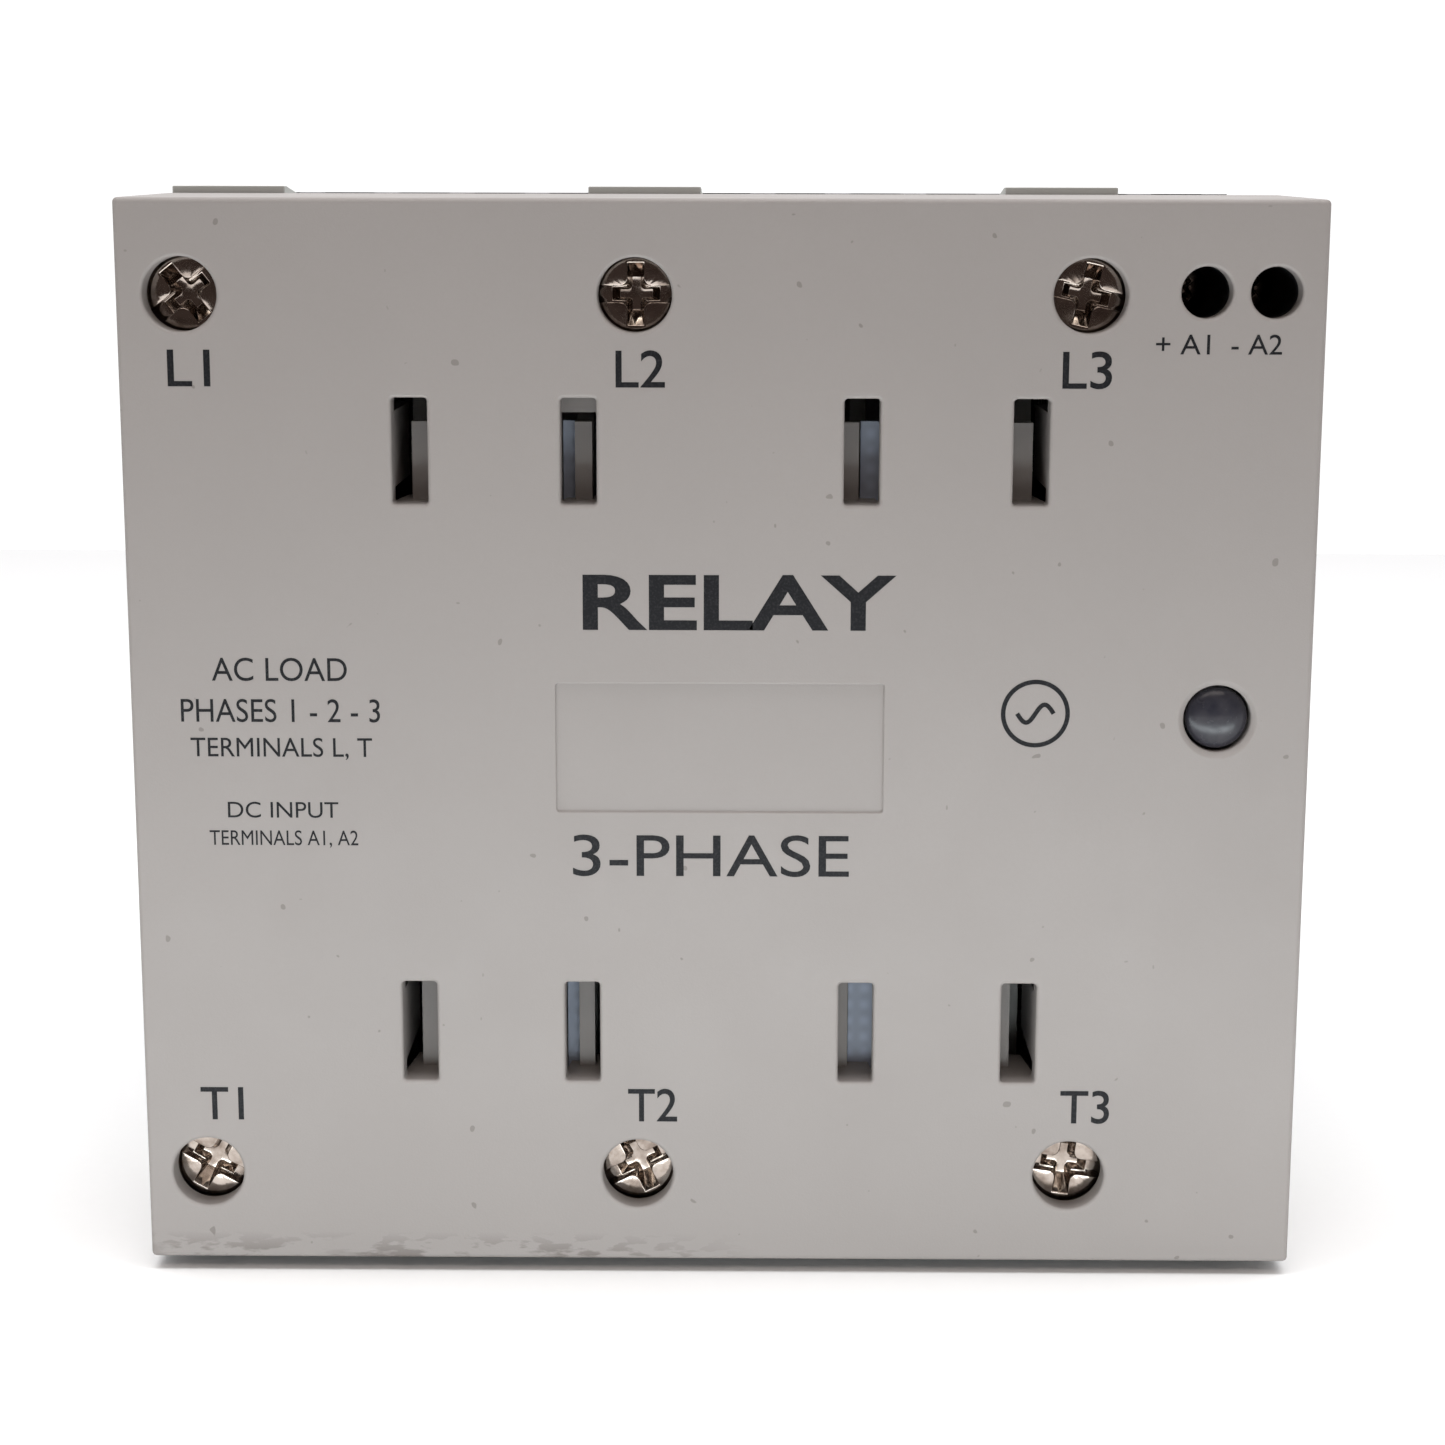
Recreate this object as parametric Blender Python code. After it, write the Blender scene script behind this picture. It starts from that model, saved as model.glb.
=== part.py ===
"""Three-phase solid state relay for a 35 mm rail.

A moulded case holds screw terminals, three power modules and a control board in front of a finned heat sink,
and a foot with a sprung latch clips the whole relay on the rail.

+X is to the right and +Z up, and the front faces -Y. The origin is the middle of the pad that seats on the
rail. Sizes are in millimetres: MM turns them into metres when a shape is placed. A shape is described by X,
by its depth behind the front face, and by Z.
"""

import math

import bmesh
import bpy
from mathutils import Matrix, Vector

MM = 0.001
GAP = 0.3

# Case
FACE_WIDTH = 110.0
FACE_HEIGHT = 101.0
COVER_DEPTH = 26.0
DRAFT = 0.38
FACE_WALL = 2.5
CASE_WALL = 1.5
HOUSING_FRONT = COVER_DEPTH + GAP
SINK_FRONT = 46.0
HOUSING_BACK = SINK_FRONT - GAP
HOUSING_HALF_WIDTH = FACE_WIDTH / 2 + DRAFT
HOUSING_HALF_HEIGHT = FACE_HEIGHT / 2 + DRAFT

# Openings in the face
LOAD_X = (-49.2, -7.8, 33.6)
LOAD_Z = 41.85
LOAD_HOLE_RADIUS = 3.4
CONTROL_X = (44.1, 50.4)
CONTROL_Z = 42.2
CONTROL_HOLE_RADIUS = 2.35
LENS_X = 46.4
LENS_Z = 2.9
LENS_RADIUS = 2.9
DISH_RADIUS = 3.6
SLOT_X = (-28.5, -13.0, 13.0, 28.5)
SLOT_Z = 27.65
SLOT_WIDTH = 3.3
SLOT_HEIGHT = 9.8
LABEL_WIDTH = 30.6
LABEL_HEIGHT = 12.3
LABEL_DEPTH = 0.3
LEDGE_BACK = 9.0
RIB_BACK = 13.7
RIB_WALL = 1.2
RIB_HALF_HEIGHT = 3.5

# Snap arms between housing and cover
CLIP_Z = 30.0
CLIP_HALF = 2.6
CLIP_WINDOW = (20.4, 23.4)
CLIP_OUTLINE = (
    (54.6, 26.7),
    (54.6, 28.5),
    (51.7, 28.5),
    (51.7, 19.4),
    (52.9, 19.4),
    (52.9, 20.7),
    (54.4, 21.4),
    (54.4, 22.9),
    (52.9, 22.9),
    (52.9, 26.7),
)

# Walls inside the housing
PARTITION_WALL = 1.6
PARTITION_FRONT = 14.0
PARTITION_HALF = 35.0
INNER_PARTITION_X = 13.1
OUTER_PARTITION_X = 29.0
SHELF_BACK = 31.6
CROSS_WALL = (34.7, 36.1)
COLLAR_HALF_WIDTH = 5.6
COLLAR_RISE = 0.83
COLLAR_TOP = 27.9
COLLAR_BACK = 34.5
BOSS_X = (-28.0, 12.0)
BOSS_Z = 43.0
BOSS_FRONT = 41.0
BOSS_HALF_WIDTH = 4.0
BOSS_REACH = 4.8

# Load terminals
CARRIER_Z = (36.4, 48.7)
CARRIER_FRONT = 6.3
CARRIER_PLATE_BACK = 10.0
POCKET = (15.2, 37.4)
CAGE_HALF_WIDTH = 3.1
CAGE_HALF_HEIGHT = 3.9
CAGE = (21.5, 36.8)
CAGE_WINDOW = (23.5, 35.6)
CAGE_WALL = 0.8
POCKET_CLEARANCE = 0.3
BUSBAR = (24.5, 26.0)
BUSBAR_HALF_WIDTH = 2.0
BUSBAR_TIP_Z = 45.4
BUSBAR_LEG_Z = (23.1, 24.6)
LOAD_ENTRY = (27.9, 35.8)
SCREW_HEAD = (3.1, 5.9)
SCREW_HEAD_RADIUS = 3.9
SCREW_SHANK_RADIUS = 1.95
SCREW_TIP = 24.0
RECESS_TURN_DEG = {
    "L1": 38.0,
    "L2": 0.0,
    "L3": -13.0,
    "T1": -30.0,
    "T2": 27.0,
    "T3": -8.0,
}

# Control terminals
CONTROL_BLOCK_X = (40.0, 53.3)
CONTROL_BLOCK = (3.2, 40.0)
CONTROL_POCKET = (21.9, 36.2)
CONTROL_CAGE = (25.3, 35.8)
CONTROL_CAGE_WINDOW = (26.9, 35.0)
CONTROL_CAGE_HALF_WIDTH = 2.2
CONTROL_CAGE_HALF_HEIGHT = 2.6
CONTROL_CAGE_WALL = 0.6
CONTROL_TONGUE = (27.5, 28.5)
CONTROL_ENTRY = (28.8, 34.8)
CONTROL_HEAD = (16.0, 18.0)
CONTROL_HEAD_RADIUS = 2.05
CONTROL_SHANK_RADIUS = 1.35
CONTROL_TIP = 27.2
CONTROL_RECESS_TURN_DEG = (40.0, 130.0)
TONGUE_HALF_WIDTH = 1.3

# Power stage and control board
MODULE_X = ((-52.3, -20.0), (-11.5, 11.5), (20.0, 52.3))
MODULE_HALF_HEIGHT = 26.0
MODULE_FRONT = 32.0
MODULE_BACK = 44.8
FLANGE_FRONT = 40.5
FLANGE_HALF_HEIGHT = 33.0
MODULE_SCREW_Z = 30.0
PAD = (45.1, 45.7)
BOARD_X = (37.5, 52.2)
BOARD = (28.8, 30.4)
BOARD_Z = (-14.0, 34.3)
DRIVER_Z = (-8.0, 14.0, 24.0)
DRIVER_HEIGHT = 3.4
DRIVER_HALF_WIDTH = 3.5
DRIVER_HALF_LENGTH = 2.4
LED_LENGTH = 2.5
PIPE_FLANGE_RADIUS = 3.8
LENS_SAG = 0.9
LENS_SUNK = 0.15

# Fixing screws: head radius, head height, shank radius and the hole that the shank runs in
FIXING_HEAD_RADIUS = 3.5
FIXING_HEAD = 2.6
FIXING_SHANK_RADIUS = 1.95
FIXING_HOLE_RADIUS = 2.3
FIXING_TIP = 51.5
TAPPED_HOLE_END = 52.2

# Heat sink
SINK_HALF_WIDTH = 54.5
SINK_HALF_HEIGHT = 50.8
SINK_BASE_BACK = 54.0
SINK_BACK = 118.0
FIN_COUNT = 14
FIN_ROOT = 2.4
FIN_TIP = 1.5
WEB_FRONT = 114.5
WEB_FINS = (4, 9)

# Rail foot and latch: the rail is 35 mm wide and 1 mm thick, and seats at SEAT_DEPTH
SEAT_DEPTH = 126.0
FOOT_HALF_WIDTH = 22.0
FOOT_Z = (-47.0, 33.0)
FOOT = (118.3, 121.3)
SEAT_HALF_HEIGHT = 15.0
RAIL_EDGE = 17.8
STOP_HEIGHT = 1.9
GUIDE_LIP_THICKNESS = 1.1
HOOK_TOP = 22.0
HOOK_OVERHANG_Z = 15.7
HOOK_LIP = (127.3, 129.3)
FOOT_SCREWS = ((-16.0, 27.5), (16.0, 27.5), (-16.0, -40.0), (16.0, -40.0))
GUIDE_X = (8.5, 11.0)
GUIDE_LIP_X = (6.9, 11.0)
GUIDE_Z = (-45.0, -16.0)
LATCH = (121.8, 124.2)
LATCH_HALF_WIDTH = 8.0
LATCH_HOOK_HALF_WIDTH = 6.3
LATCH_Z = (-50.4, -15.7)
LATCH_POST_Z = (-20.6, -18.1)
LATCH_WINDOW_Z = (-42.0, -26.0)
LATCH_WINDOW_HALF = 3.6
LATCH_EYE_Z = (-48.6, -44.6)
SPRING_Z = (-39.2, -26.3)
SPRING_RADIUS = 1.7
SPRING_WIRE = 0.6
SPRING_TURNS = 7
SPRING_STEPS = 12
SPRING_DEPTH = 123.8

ROUND_SIDES = 24
SMALL_SIDES = 12
SMOOTH_ANGLE = math.radians(35.0)

# Finishes: linear colour, roughness, metallic
FINISHES = {
    "moulded_grey": ((0.42, 0.39, 0.37), 0.55, 0.0),
    "moulded_black": ((0.018, 0.018, 0.020), 0.50, 0.0),
    "nickelled_steel": ((0.62, 0.58, 0.52), 0.30, 1.0),
    "tinned_copper": ((0.70, 0.62, 0.52), 0.32, 1.0),
    "extruded_aluminium": ((0.68, 0.69, 0.71), 0.42, 1.0),
    "smoked_lens": ((0.020, 0.018, 0.018), 0.08, 0.0),
    "board_green": ((0.030, 0.110, 0.050), 0.45, 0.0),
    "thermal_pad": ((0.50, 0.52, 0.55), 0.80, 0.0),
    "spring_steel": ((0.45, 0.45, 0.46), 0.28, 1.0),
    "indicator_die": ((0.80, 0.72, 0.30), 0.35, 0.0),
}


def clear_scene():
    """Remove every object that the scene starts with."""
    for item in list(bpy.data.objects):
        bpy.data.objects.remove(item, do_unlink=True)


def make_finishes():
    """Build one Principled material for each named finish."""
    made = {}
    for name, (colour, roughness, metallic) in FINISHES.items():
        material = bpy.data.materials.new(name)
        material.use_nodes = True
        shader = material.node_tree.nodes["Principled BSDF"]
        shader.inputs["Base Color"].default_value = (*colour, 1.0)
        shader.inputs["Roughness"].default_value = roughness
        shader.inputs["Metallic"].default_value = metallic
        made[name] = material
    return made


def spread(low_high, margin):
    """Widen a (low, high) pair by a margin at both ends."""
    return (low_high[0] - margin, low_high[1] + margin)


def about(centre, half):
    """Give the (low, high) pair of a length that is centred on a point."""
    return (centre - half, centre + half)


def mirrored(low_high, side):
    """Turn a (low, high) pair over to the other side of zero where side is -1."""
    return tuple(sorted((low_high[0] * side, low_high[1] * side)))


def block(bm, x, depth, z):
    """Add a box that fills three (low, high) pairs."""
    verts = bmesh.ops.create_cube(bm, size=1.0)["verts"]
    size = Vector((x[1] - x[0], depth[1] - depth[0], z[1] - z[0]))
    centre = Vector((x[0] + x[1], depth[0] + depth[1], z[0] + z[1])) / 2
    bmesh.ops.scale(bm, vec=size, verts=verts)
    bmesh.ops.translate(bm, vec=centre, verts=verts)


def drafted_block(bm, front_half, back_half, depth):
    """Add a centred box whose front and back differ in (half width, half height)."""
    verts = bmesh.ops.create_cube(bm, size=2.0)["verts"]
    for vert in verts:
        at_front = vert.co.y < 0
        half = front_half if at_front else back_half
        vert.co.x *= half[0]
        vert.co.z *= half[1]
        vert.co.y = depth[0] if at_front else depth[1]


def prism(bm, outline, span, along):
    """Extrude a closed outline over a span: X-depth along "z", depth-Z along "x", X-Z along "y"."""
    order = {"z": (0, 1, 2), "x": (1, 2, 0), "y": (0, 2, 1)}[along]
    verts = []
    for first, second in outline:
        point = [0.0, 0.0, 0.0]
        point[order[0]] = first
        point[order[1]] = second
        point[order[2]] = span[0]
        verts.append(bm.verts.new(point))
    base = bm.faces.new(verts)
    grown = bmesh.ops.extrude_face_region(bm, geom=[base])["geom"]
    lift = Vector((0.0, 0.0, 0.0))
    lift[order[2]] = span[1] - span[0]
    moved = [item for item in grown if isinstance(item, bmesh.types.BMVert)]
    bmesh.ops.translate(bm, vec=lift, verts=moved)


def turned(bm, x, z, profile, sides=ROUND_SIDES):
    """Turn a profile of (depth, radius) points round an axis that runs front to back at (x, z)."""
    rings = []
    for depth, radius in profile:
        ring = []
        for step in range(sides):
            angle = math.tau * (step + 0.5) / sides
            point = (x + radius * math.cos(angle), depth, z + radius * math.sin(angle))
            ring.append(bm.verts.new(point))
        rings.append(ring)
    for near, far in zip(rings, rings[1:]):
        for step in range(sides):
            after = (step + 1) % sides
            bm.faces.new((near[step], near[after], far[after], far[step]))
    bm.faces.new(rings[0])
    bm.faces.new(rings[-1])


def bore(bm, x, z, radius, depth, sides=SMALL_SIDES):
    """Add a plain round bar from front to back, mostly used as the shape of a hole."""
    turned(bm, x, z, ((depth[0], radius), (depth[1], radius)), sides)


def place(name, bm, finish=None, pivot=(0.0, 0.0, 0.0)):
    """Make an object from shapes in millimetres, with its origin at a pivot given as (x, depth, z)."""
    bmesh.ops.recalc_face_normals(bm, faces=bm.faces)
    bmesh.ops.translate(bm, vec=-Vector(pivot), verts=bm.verts)
    bmesh.ops.scale(bm, vec=Vector((MM, MM, MM)), verts=bm.verts)
    mesh = bpy.data.meshes.new(name)
    bm.to_mesh(mesh)
    bm.free()
    mesh.shade_smooth()
    mesh.set_sharp_from_angle(angle=SMOOTH_ANGLE)
    item = bpy.data.objects.new(name, mesh)
    item.location = Vector((pivot[0], pivot[1] - SEAT_DEPTH, pivot[2])) * MM
    bpy.context.scene.collection.objects.link(item)
    if finish is not None:
        mesh.materials.append(finish)
    return item


def apply_shapes(target, label, bm, operation):
    """Join shapes to a piece, or cut them out of it, with a Boolean modifier."""
    tool = place(f"{target.name}_{label}", bm)
    tool.hide_render = True
    tool.display_type = "WIRE"
    modifier = target.modifiers.new(label, "BOOLEAN")
    modifier.operation = operation
    modifier.solver = "EXACT"
    modifier.object = tool


def cut(target, label, bm):
    """Cut shapes out of a piece."""
    apply_shapes(target, label, bm, "DIFFERENCE")


def join(target, label, bm):
    """Join shapes to a piece."""
    apply_shapes(target, label, bm, "UNION")


def make_front_cover(finish):
    """Make the drafted cover with its terminal holes, vent slots, lens dish and label recess."""
    bm = bmesh.new()
    front = (FACE_WIDTH / 2, FACE_HEIGHT / 2)
    back = (HOUSING_HALF_WIDTH, HOUSING_HALF_HEIGHT)
    drafted_block(bm, front, back, (0.0, COVER_DEPTH))
    rim = [e for e in bm.edges if any(v.co.y < COVER_DEPTH / 2 for v in e.verts)]
    bmesh.ops.bevel(bm, geom=rim, offset=0.5, segments=2, profile=0.5, affect="EDGES")
    cover = place("front_cover", bm, finish)

    bm = bmesh.new()
    inner_front = (front[0] - CASE_WALL, front[1] - CASE_WALL)
    inner_back = (back[0] - CASE_WALL, back[1] - CASE_WALL)
    drafted_block(bm, inner_front, inner_back, (FACE_WALL, COVER_DEPTH + 1.0))
    cut(cover, "hollow", bm)

    through = (-1.0, FACE_WALL + 1.0)
    bm = bmesh.new()
    for x in LOAD_X:
        for side in (-1, 1):
            bore(bm, x, side * LOAD_Z, LOAD_HOLE_RADIUS, through, ROUND_SIDES)
    for x in CONTROL_X:
        bore(bm, x, CONTROL_Z, CONTROL_HOLE_RADIUS, through, ROUND_SIDES)
    lens_hole = LENS_RADIUS + GAP
    dish = ((-0.5, DISH_RADIUS + 0.5), (0.4, lens_hole), (through[1], lens_hole))
    turned(bm, LENS_X, LENS_Z, dish)
    block(bm, about(0.0, LABEL_WIDTH / 2), (-1.0, LABEL_DEPTH), about(0.0, LABEL_HEIGHT / 2))
    for x in SLOT_X:
        for side in (-1, 1):
            block(bm, about(x, SLOT_WIDTH / 2), through, about(side * SLOT_Z, SLOT_HEIGHT / 2))
    for side in (-1, 1):
        wall = mirrored((HOUSING_HALF_WIDTH - 3.0, HOUSING_HALF_WIDTH + 1.0), side)
        for z in (-CLIP_Z, CLIP_Z):
            block(bm, wall, CLIP_WINDOW, about(z, CLIP_HALF + 0.4))
    cut(cover, "openings", bm)

    bm = bmesh.new()
    for x in SLOT_X:
        for side in (-1, 1):
            sill = side * SLOT_Z - SLOT_HEIGHT / 2
            ledge_z = (sill - RIB_WALL, sill)
            block(bm, about(x, SLOT_WIDTH / 2 + 0.5), (FACE_WALL - GAP, LEDGE_BACK), ledge_z)
    join(cover, "ledges", bm)

    bm = bmesh.new()
    rib_inner = SLOT_X[-1] + SLOT_WIDTH / 2
    for x_side in (-1, 1):
        for z_side in (-1, 1):
            rib_x = mirrored((rib_inner, rib_inner + RIB_WALL), x_side)
            rib_z = about(z_side * SLOT_Z, RIB_HALF_HEIGHT)
            block(bm, rib_x, (FACE_WALL - GAP, RIB_BACK), rib_z)
    join(cover, "guard_ribs", bm)


def make_rear_housing(finish):
    """Make the case half that stands on the heat sink, with its walls, collars, bosses and snap arms."""
    depth = (HOUSING_FRONT, HOUSING_BACK)
    bm = bmesh.new()
    block(bm, about(0.0, HOUSING_HALF_WIDTH), depth, about(0.0, HOUSING_HALF_HEIGHT))
    housing = place("rear_housing", bm, finish)

    inner_x = HOUSING_HALF_WIDTH - CASE_WALL
    inner_z = HOUSING_HALF_HEIGHT - CASE_WALL
    bm = bmesh.new()
    block(bm, about(0.0, inner_x), spread(depth, 1.0), about(0.0, inner_z))
    cut(housing, "hollow", bm)

    bm = bmesh.new()
    for x in LOAD_X:
        for side in (-1, 1):
            foot = side * (HOUSING_HALF_HEIGHT - 0.5)
            top = side * HOUSING_HALF_HEIGHT
            wedge = (
                (HOUSING_FRONT, foot),
                (HOUSING_FRONT, top + side * COLLAR_RISE),
                (COLLAR_TOP, top + side * COLLAR_RISE),
                (COLLAR_BACK, top),
                (COLLAR_BACK, foot),
            )
            prism(bm, wedge, about(x, COLLAR_HALF_WIDTH), "x")
    join(housing, "collars", bm)

    bm = bmesh.new()
    for side in (-1, 1):
        block(bm, about(0.0, inner_x + 0.5), (HOUSING_FRONT + GAP, SHELF_BACK), mirrored(CROSS_WALL, side))
        for x in BOSS_X:
            boss_z = mirrored((BOSS_Z - BOSS_REACH, inner_z + 0.5), side)
            block(bm, about(x, BOSS_HALF_WIDTH), (BOSS_FRONT, HOUSING_BACK), boss_z)
    shelf_x = (BOARD_X[1] - 0.8, inner_x + 0.5)
    block(bm, shelf_x, (BOARD[1] + GAP, SHELF_BACK), (BOARD_Z[0], BOARD_Z[1] - 1.0))
    join(housing, "cross_walls", bm)

    bm = bmesh.new()
    for side in (-1, 1):
        inner = about(side * INNER_PARTITION_X, PARTITION_WALL / 2)
        outer = about(side * OUTER_PARTITION_X, PARTITION_WALL / 2)
        block(bm, inner, (PARTITION_FRONT, HOUSING_BACK), about(0.0, PARTITION_HALF))
        block(bm, outer, (PARTITION_FRONT, SHELF_BACK), about(0.0, PARTITION_HALF))
        outline = [(side * x, d) for x, d in CLIP_OUTLINE]
        for z in (-CLIP_Z, CLIP_Z):
            prism(bm, outline, about(z, CLIP_HALF), "z")
    join(housing, "partitions", bm)

    bm = bmesh.new()
    for side in (-1, 1):
        outside = mirrored((inner_z - 0.2, HOUSING_HALF_HEIGHT + 2.0), side)
        for x in LOAD_X:
            block(bm, about(x, CAGE_HALF_WIDTH + 0.2), (LOAD_ENTRY[0], LOAD_ENTRY[1] + 0.3), outside)
        for x in BOSS_X:
            bore(bm, x, side * BOSS_Z, FIXING_HOLE_RADIUS, (BOSS_FRONT - 1.0, HOUSING_BACK + 1.0))
    for x in CONTROL_X:
        above = (inner_z - 0.2, HOUSING_HALF_HEIGHT + 1.0)
        block(bm, about(x, CONTROL_CAGE_HALF_WIDTH - 0.1), spread(CONTROL_ENTRY, 0.2), above)
    notch_x = (CONTROL_X[0] - 2.6, CONTROL_X[1] + 2.6)
    block(bm, notch_x, (HOUSING_FRONT - 1.0, CONTROL_TONGUE[1] + 0.8), spread(CROSS_WALL, 0.5))
    cut(housing, "entries", bm)


def make_carrier(name, side, finish):
    """Make the black moulding that guides three load cages, above or below the power modules."""
    pocket_x = CAGE_HALF_WIDTH + POCKET_CLEARANCE
    pocket_z = CAGE_HALF_HEIGHT + POCKET_CLEARANCE
    tower_wall = 1.2
    x_span = (LOAD_X[0] - pocket_x - 0.7, LOAD_X[-1] + pocket_x + tower_wall)
    z_span = mirrored(CARRIER_Z, side)
    bm = bmesh.new()
    block(bm, x_span, (CARRIER_FRONT, HOUSING_BACK), z_span)
    carrier = place(name, bm, finish)

    bm = bmesh.new()
    for left, right in zip(LOAD_X, LOAD_X[1:]):
        gap_x = (left + pocket_x + tower_wall, right - pocket_x - tower_wall)
        block(bm, gap_x, (CARRIER_PLATE_BACK, HOUSING_BACK + 1.0), spread(z_span, 1.0))
    for x in LOAD_X:
        block(bm, about(x, pocket_x), POCKET, about(side * LOAD_Z, pocket_z))
    cut(carrier, "pockets", bm)

    bm = bmesh.new()
    for x in LOAD_X:
        bore(bm, x, side * LOAD_Z, SCREW_SHANK_RADIUS + 0.5, (CARRIER_FRONT - 1.0, POCKET[0] + 1.0))
        outward = mirrored((LOAD_Z + pocket_z - 0.5, CARRIER_Z[1] + 1.0), side)
        block(bm, about(x, CAGE_HALF_WIDTH - 0.2), LOAD_ENTRY, outward)
        inward = mirrored((CARRIER_Z[0] - 1.0, LOAD_Z - pocket_z + 0.5), side)
        block(bm, about(x, BUSBAR_HALF_WIDTH + 0.4), spread(BUSBAR, 0.4), inward)
    cut(carrier, "passages", bm)


def make_screw(name, x, z, head, head_radius, shank_radius, tip, turn_deg, finish):
    """Make a terminal screw with a slot and two short cross arms, its origin on its own axis."""
    pivot = (x, head[0], z)
    crown = head_radius * 0.72
    chamfer = shank_radius * 0.3
    profile = (
        (head[0], crown),
        (head[0] + 0.3, head_radius - 0.15),
        (head[0] + 0.9, head_radius),
        (head[1], head_radius),
        (head[1], shank_radius),
        (tip - chamfer, shank_radius),
        (tip, shank_radius - chamfer),
    )
    bm = bmesh.new()
    turned(bm, x, z, profile)
    screw = place(name, bm, finish, pivot)

    slot_half = head_radius + 0.5
    arm = head_radius * 0.72
    half = head_radius * 0.2
    turn = Matrix.Rotation(math.radians(turn_deg), 2)
    outline = []
    for corner_x, corner_z in (
        (slot_half, half),
        (half, half),
        (half, arm),
        (-half, arm),
        (-half, half),
        (-slot_half, half),
        (-slot_half, -half),
        (-half, -half),
        (-half, -arm),
        (half, -arm),
        (half, -half),
        (slot_half, -half),
    ):
        turned_corner = turn @ Vector((corner_x, corner_z))
        outline.append((x + turned_corner.x, z + turned_corner.y))
    bm = bmesh.new()
    prism(bm, outline, (head[0] - 0.5, head[0] + 1.2), "y")
    cut(screw, "recess", bm)


def make_cage(name, x, z, depth, window, half_width, half_height, wall, hole_radius, finish):
    """Make a rising clamp: a rectangular sleeve whose thick front wall is threaded for the screw."""
    pivot = (x, depth[0], z)
    bm = bmesh.new()
    block(bm, about(x, half_width), depth, about(z, half_height))
    cage = place(name, bm, finish, pivot)
    bm = bmesh.new()
    block(bm, about(x, half_width - wall), window, about(z, half_height + 1.0))
    cut(cage, "window", bm)
    bm = bmesh.new()
    bore(bm, x, z, hole_radius, (depth[0] - 1.0, window[0] + 0.5))
    cut(cage, "thread", bm)


def make_load_terminals(finishes):
    """Make a screw, a cage and a busbar for each of the six load terminals."""
    for side, letter in ((1, "L"), (-1, "T")):
        for number, x in enumerate(LOAD_X, start=1):
            mark = f"{letter}{number}"
            tag = mark.lower()
            z = side * LOAD_Z
            make_screw(
                f"load_screw_{tag}",
                x,
                z,
                SCREW_HEAD,
                SCREW_HEAD_RADIUS,
                SCREW_SHANK_RADIUS,
                SCREW_TIP,
                RECESS_TURN_DEG[mark],
                finishes["nickelled_steel"],
            )
            make_cage(
                f"load_cage_{tag}",
                x,
                z,
                CAGE,
                CAGE_WINDOW,
                CAGE_HALF_WIDTH,
                CAGE_HALF_HEIGHT,
                CAGE_WALL,
                SCREW_SHANK_RADIUS + 0.45,
                finishes["nickelled_steel"],
            )
            outline = (
                (BUSBAR[0], side * BUSBAR_TIP_Z),
                (BUSBAR[1], side * BUSBAR_TIP_Z),
                (BUSBAR[1], side * BUSBAR_LEG_Z[1]),
                (MODULE_FRONT - GAP, side * BUSBAR_LEG_Z[1]),
                (MODULE_FRONT - GAP, side * BUSBAR_LEG_Z[0]),
                (BUSBAR[0], side * BUSBAR_LEG_Z[0]),
            )
            bm = bmesh.new()
            prism(bm, outline, about(x, BUSBAR_HALF_WIDTH), "x")
            place(f"load_busbar_{tag}", bm, finishes["tinned_copper"])


def make_control_block(finish):
    """Make the black moulding that holds the two control terminals."""
    bm = bmesh.new()
    block(bm, CONTROL_BLOCK_X, CONTROL_BLOCK, CARRIER_Z)
    holder = place("control_terminal_block", bm, finish)

    pocket_x = CONTROL_CAGE_HALF_WIDTH + POCKET_CLEARANCE
    pocket_z = CONTROL_CAGE_HALF_HEIGHT + POCKET_CLEARANCE
    bm = bmesh.new()
    head_well = (CONTROL_BLOCK[0] - 1.0, CONTROL_HEAD[1] + 0.4)
    for x in CONTROL_X:
        bore(bm, x, CONTROL_Z, CONTROL_HOLE_RADIUS, head_well, ROUND_SIDES)
        block(bm, about(x, pocket_x), CONTROL_POCKET, about(CONTROL_Z, pocket_z))
    cut(holder, "pockets", bm)

    bm = bmesh.new()
    for x in CONTROL_X:
        bore(bm, x, CONTROL_Z, CONTROL_SHANK_RADIUS + 0.35, (CONTROL_HEAD[1] - 0.2, CONTROL_POCKET[0] + 0.5))
        upward = (CONTROL_Z + pocket_z - 0.5, CARRIER_Z[1] + 1.0)
        block(bm, about(x, CONTROL_CAGE_HALF_WIDTH - 0.3), CONTROL_ENTRY, upward)
        downward = (CARRIER_Z[0] - 1.0, CONTROL_Z - pocket_z + 0.5)
        block(bm, about(x, TONGUE_HALF_WIDTH + 0.4), spread(CONTROL_TONGUE, 0.4), downward)
    cut(holder, "passages", bm)


def make_control_terminals(finishes):
    """Make a screw, a cage and a tongue for both control terminals."""
    for number, x in enumerate(CONTROL_X, start=1):
        make_screw(
            f"control_screw_a{number}",
            x,
            CONTROL_Z,
            CONTROL_HEAD,
            CONTROL_HEAD_RADIUS,
            CONTROL_SHANK_RADIUS,
            CONTROL_TIP,
            CONTROL_RECESS_TURN_DEG[number - 1],
            finishes["nickelled_steel"],
        )
        make_cage(
            f"control_cage_a{number}",
            x,
            CONTROL_Z,
            CONTROL_CAGE,
            CONTROL_CAGE_WINDOW,
            CONTROL_CAGE_HALF_WIDTH,
            CONTROL_CAGE_HALF_HEIGHT,
            CONTROL_CAGE_WALL,
            CONTROL_SHANK_RADIUS + 0.35,
            finishes["nickelled_steel"],
        )
        bm = bmesh.new()
        tongue_z = (BOARD_Z[1] - 4.3, CONTROL_Z + 2.0)
        block(bm, about(x, TONGUE_HALF_WIDTH), CONTROL_TONGUE, tongue_z)
        place(f"control_tongue_a{number}", bm, finishes["tinned_copper"])


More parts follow.
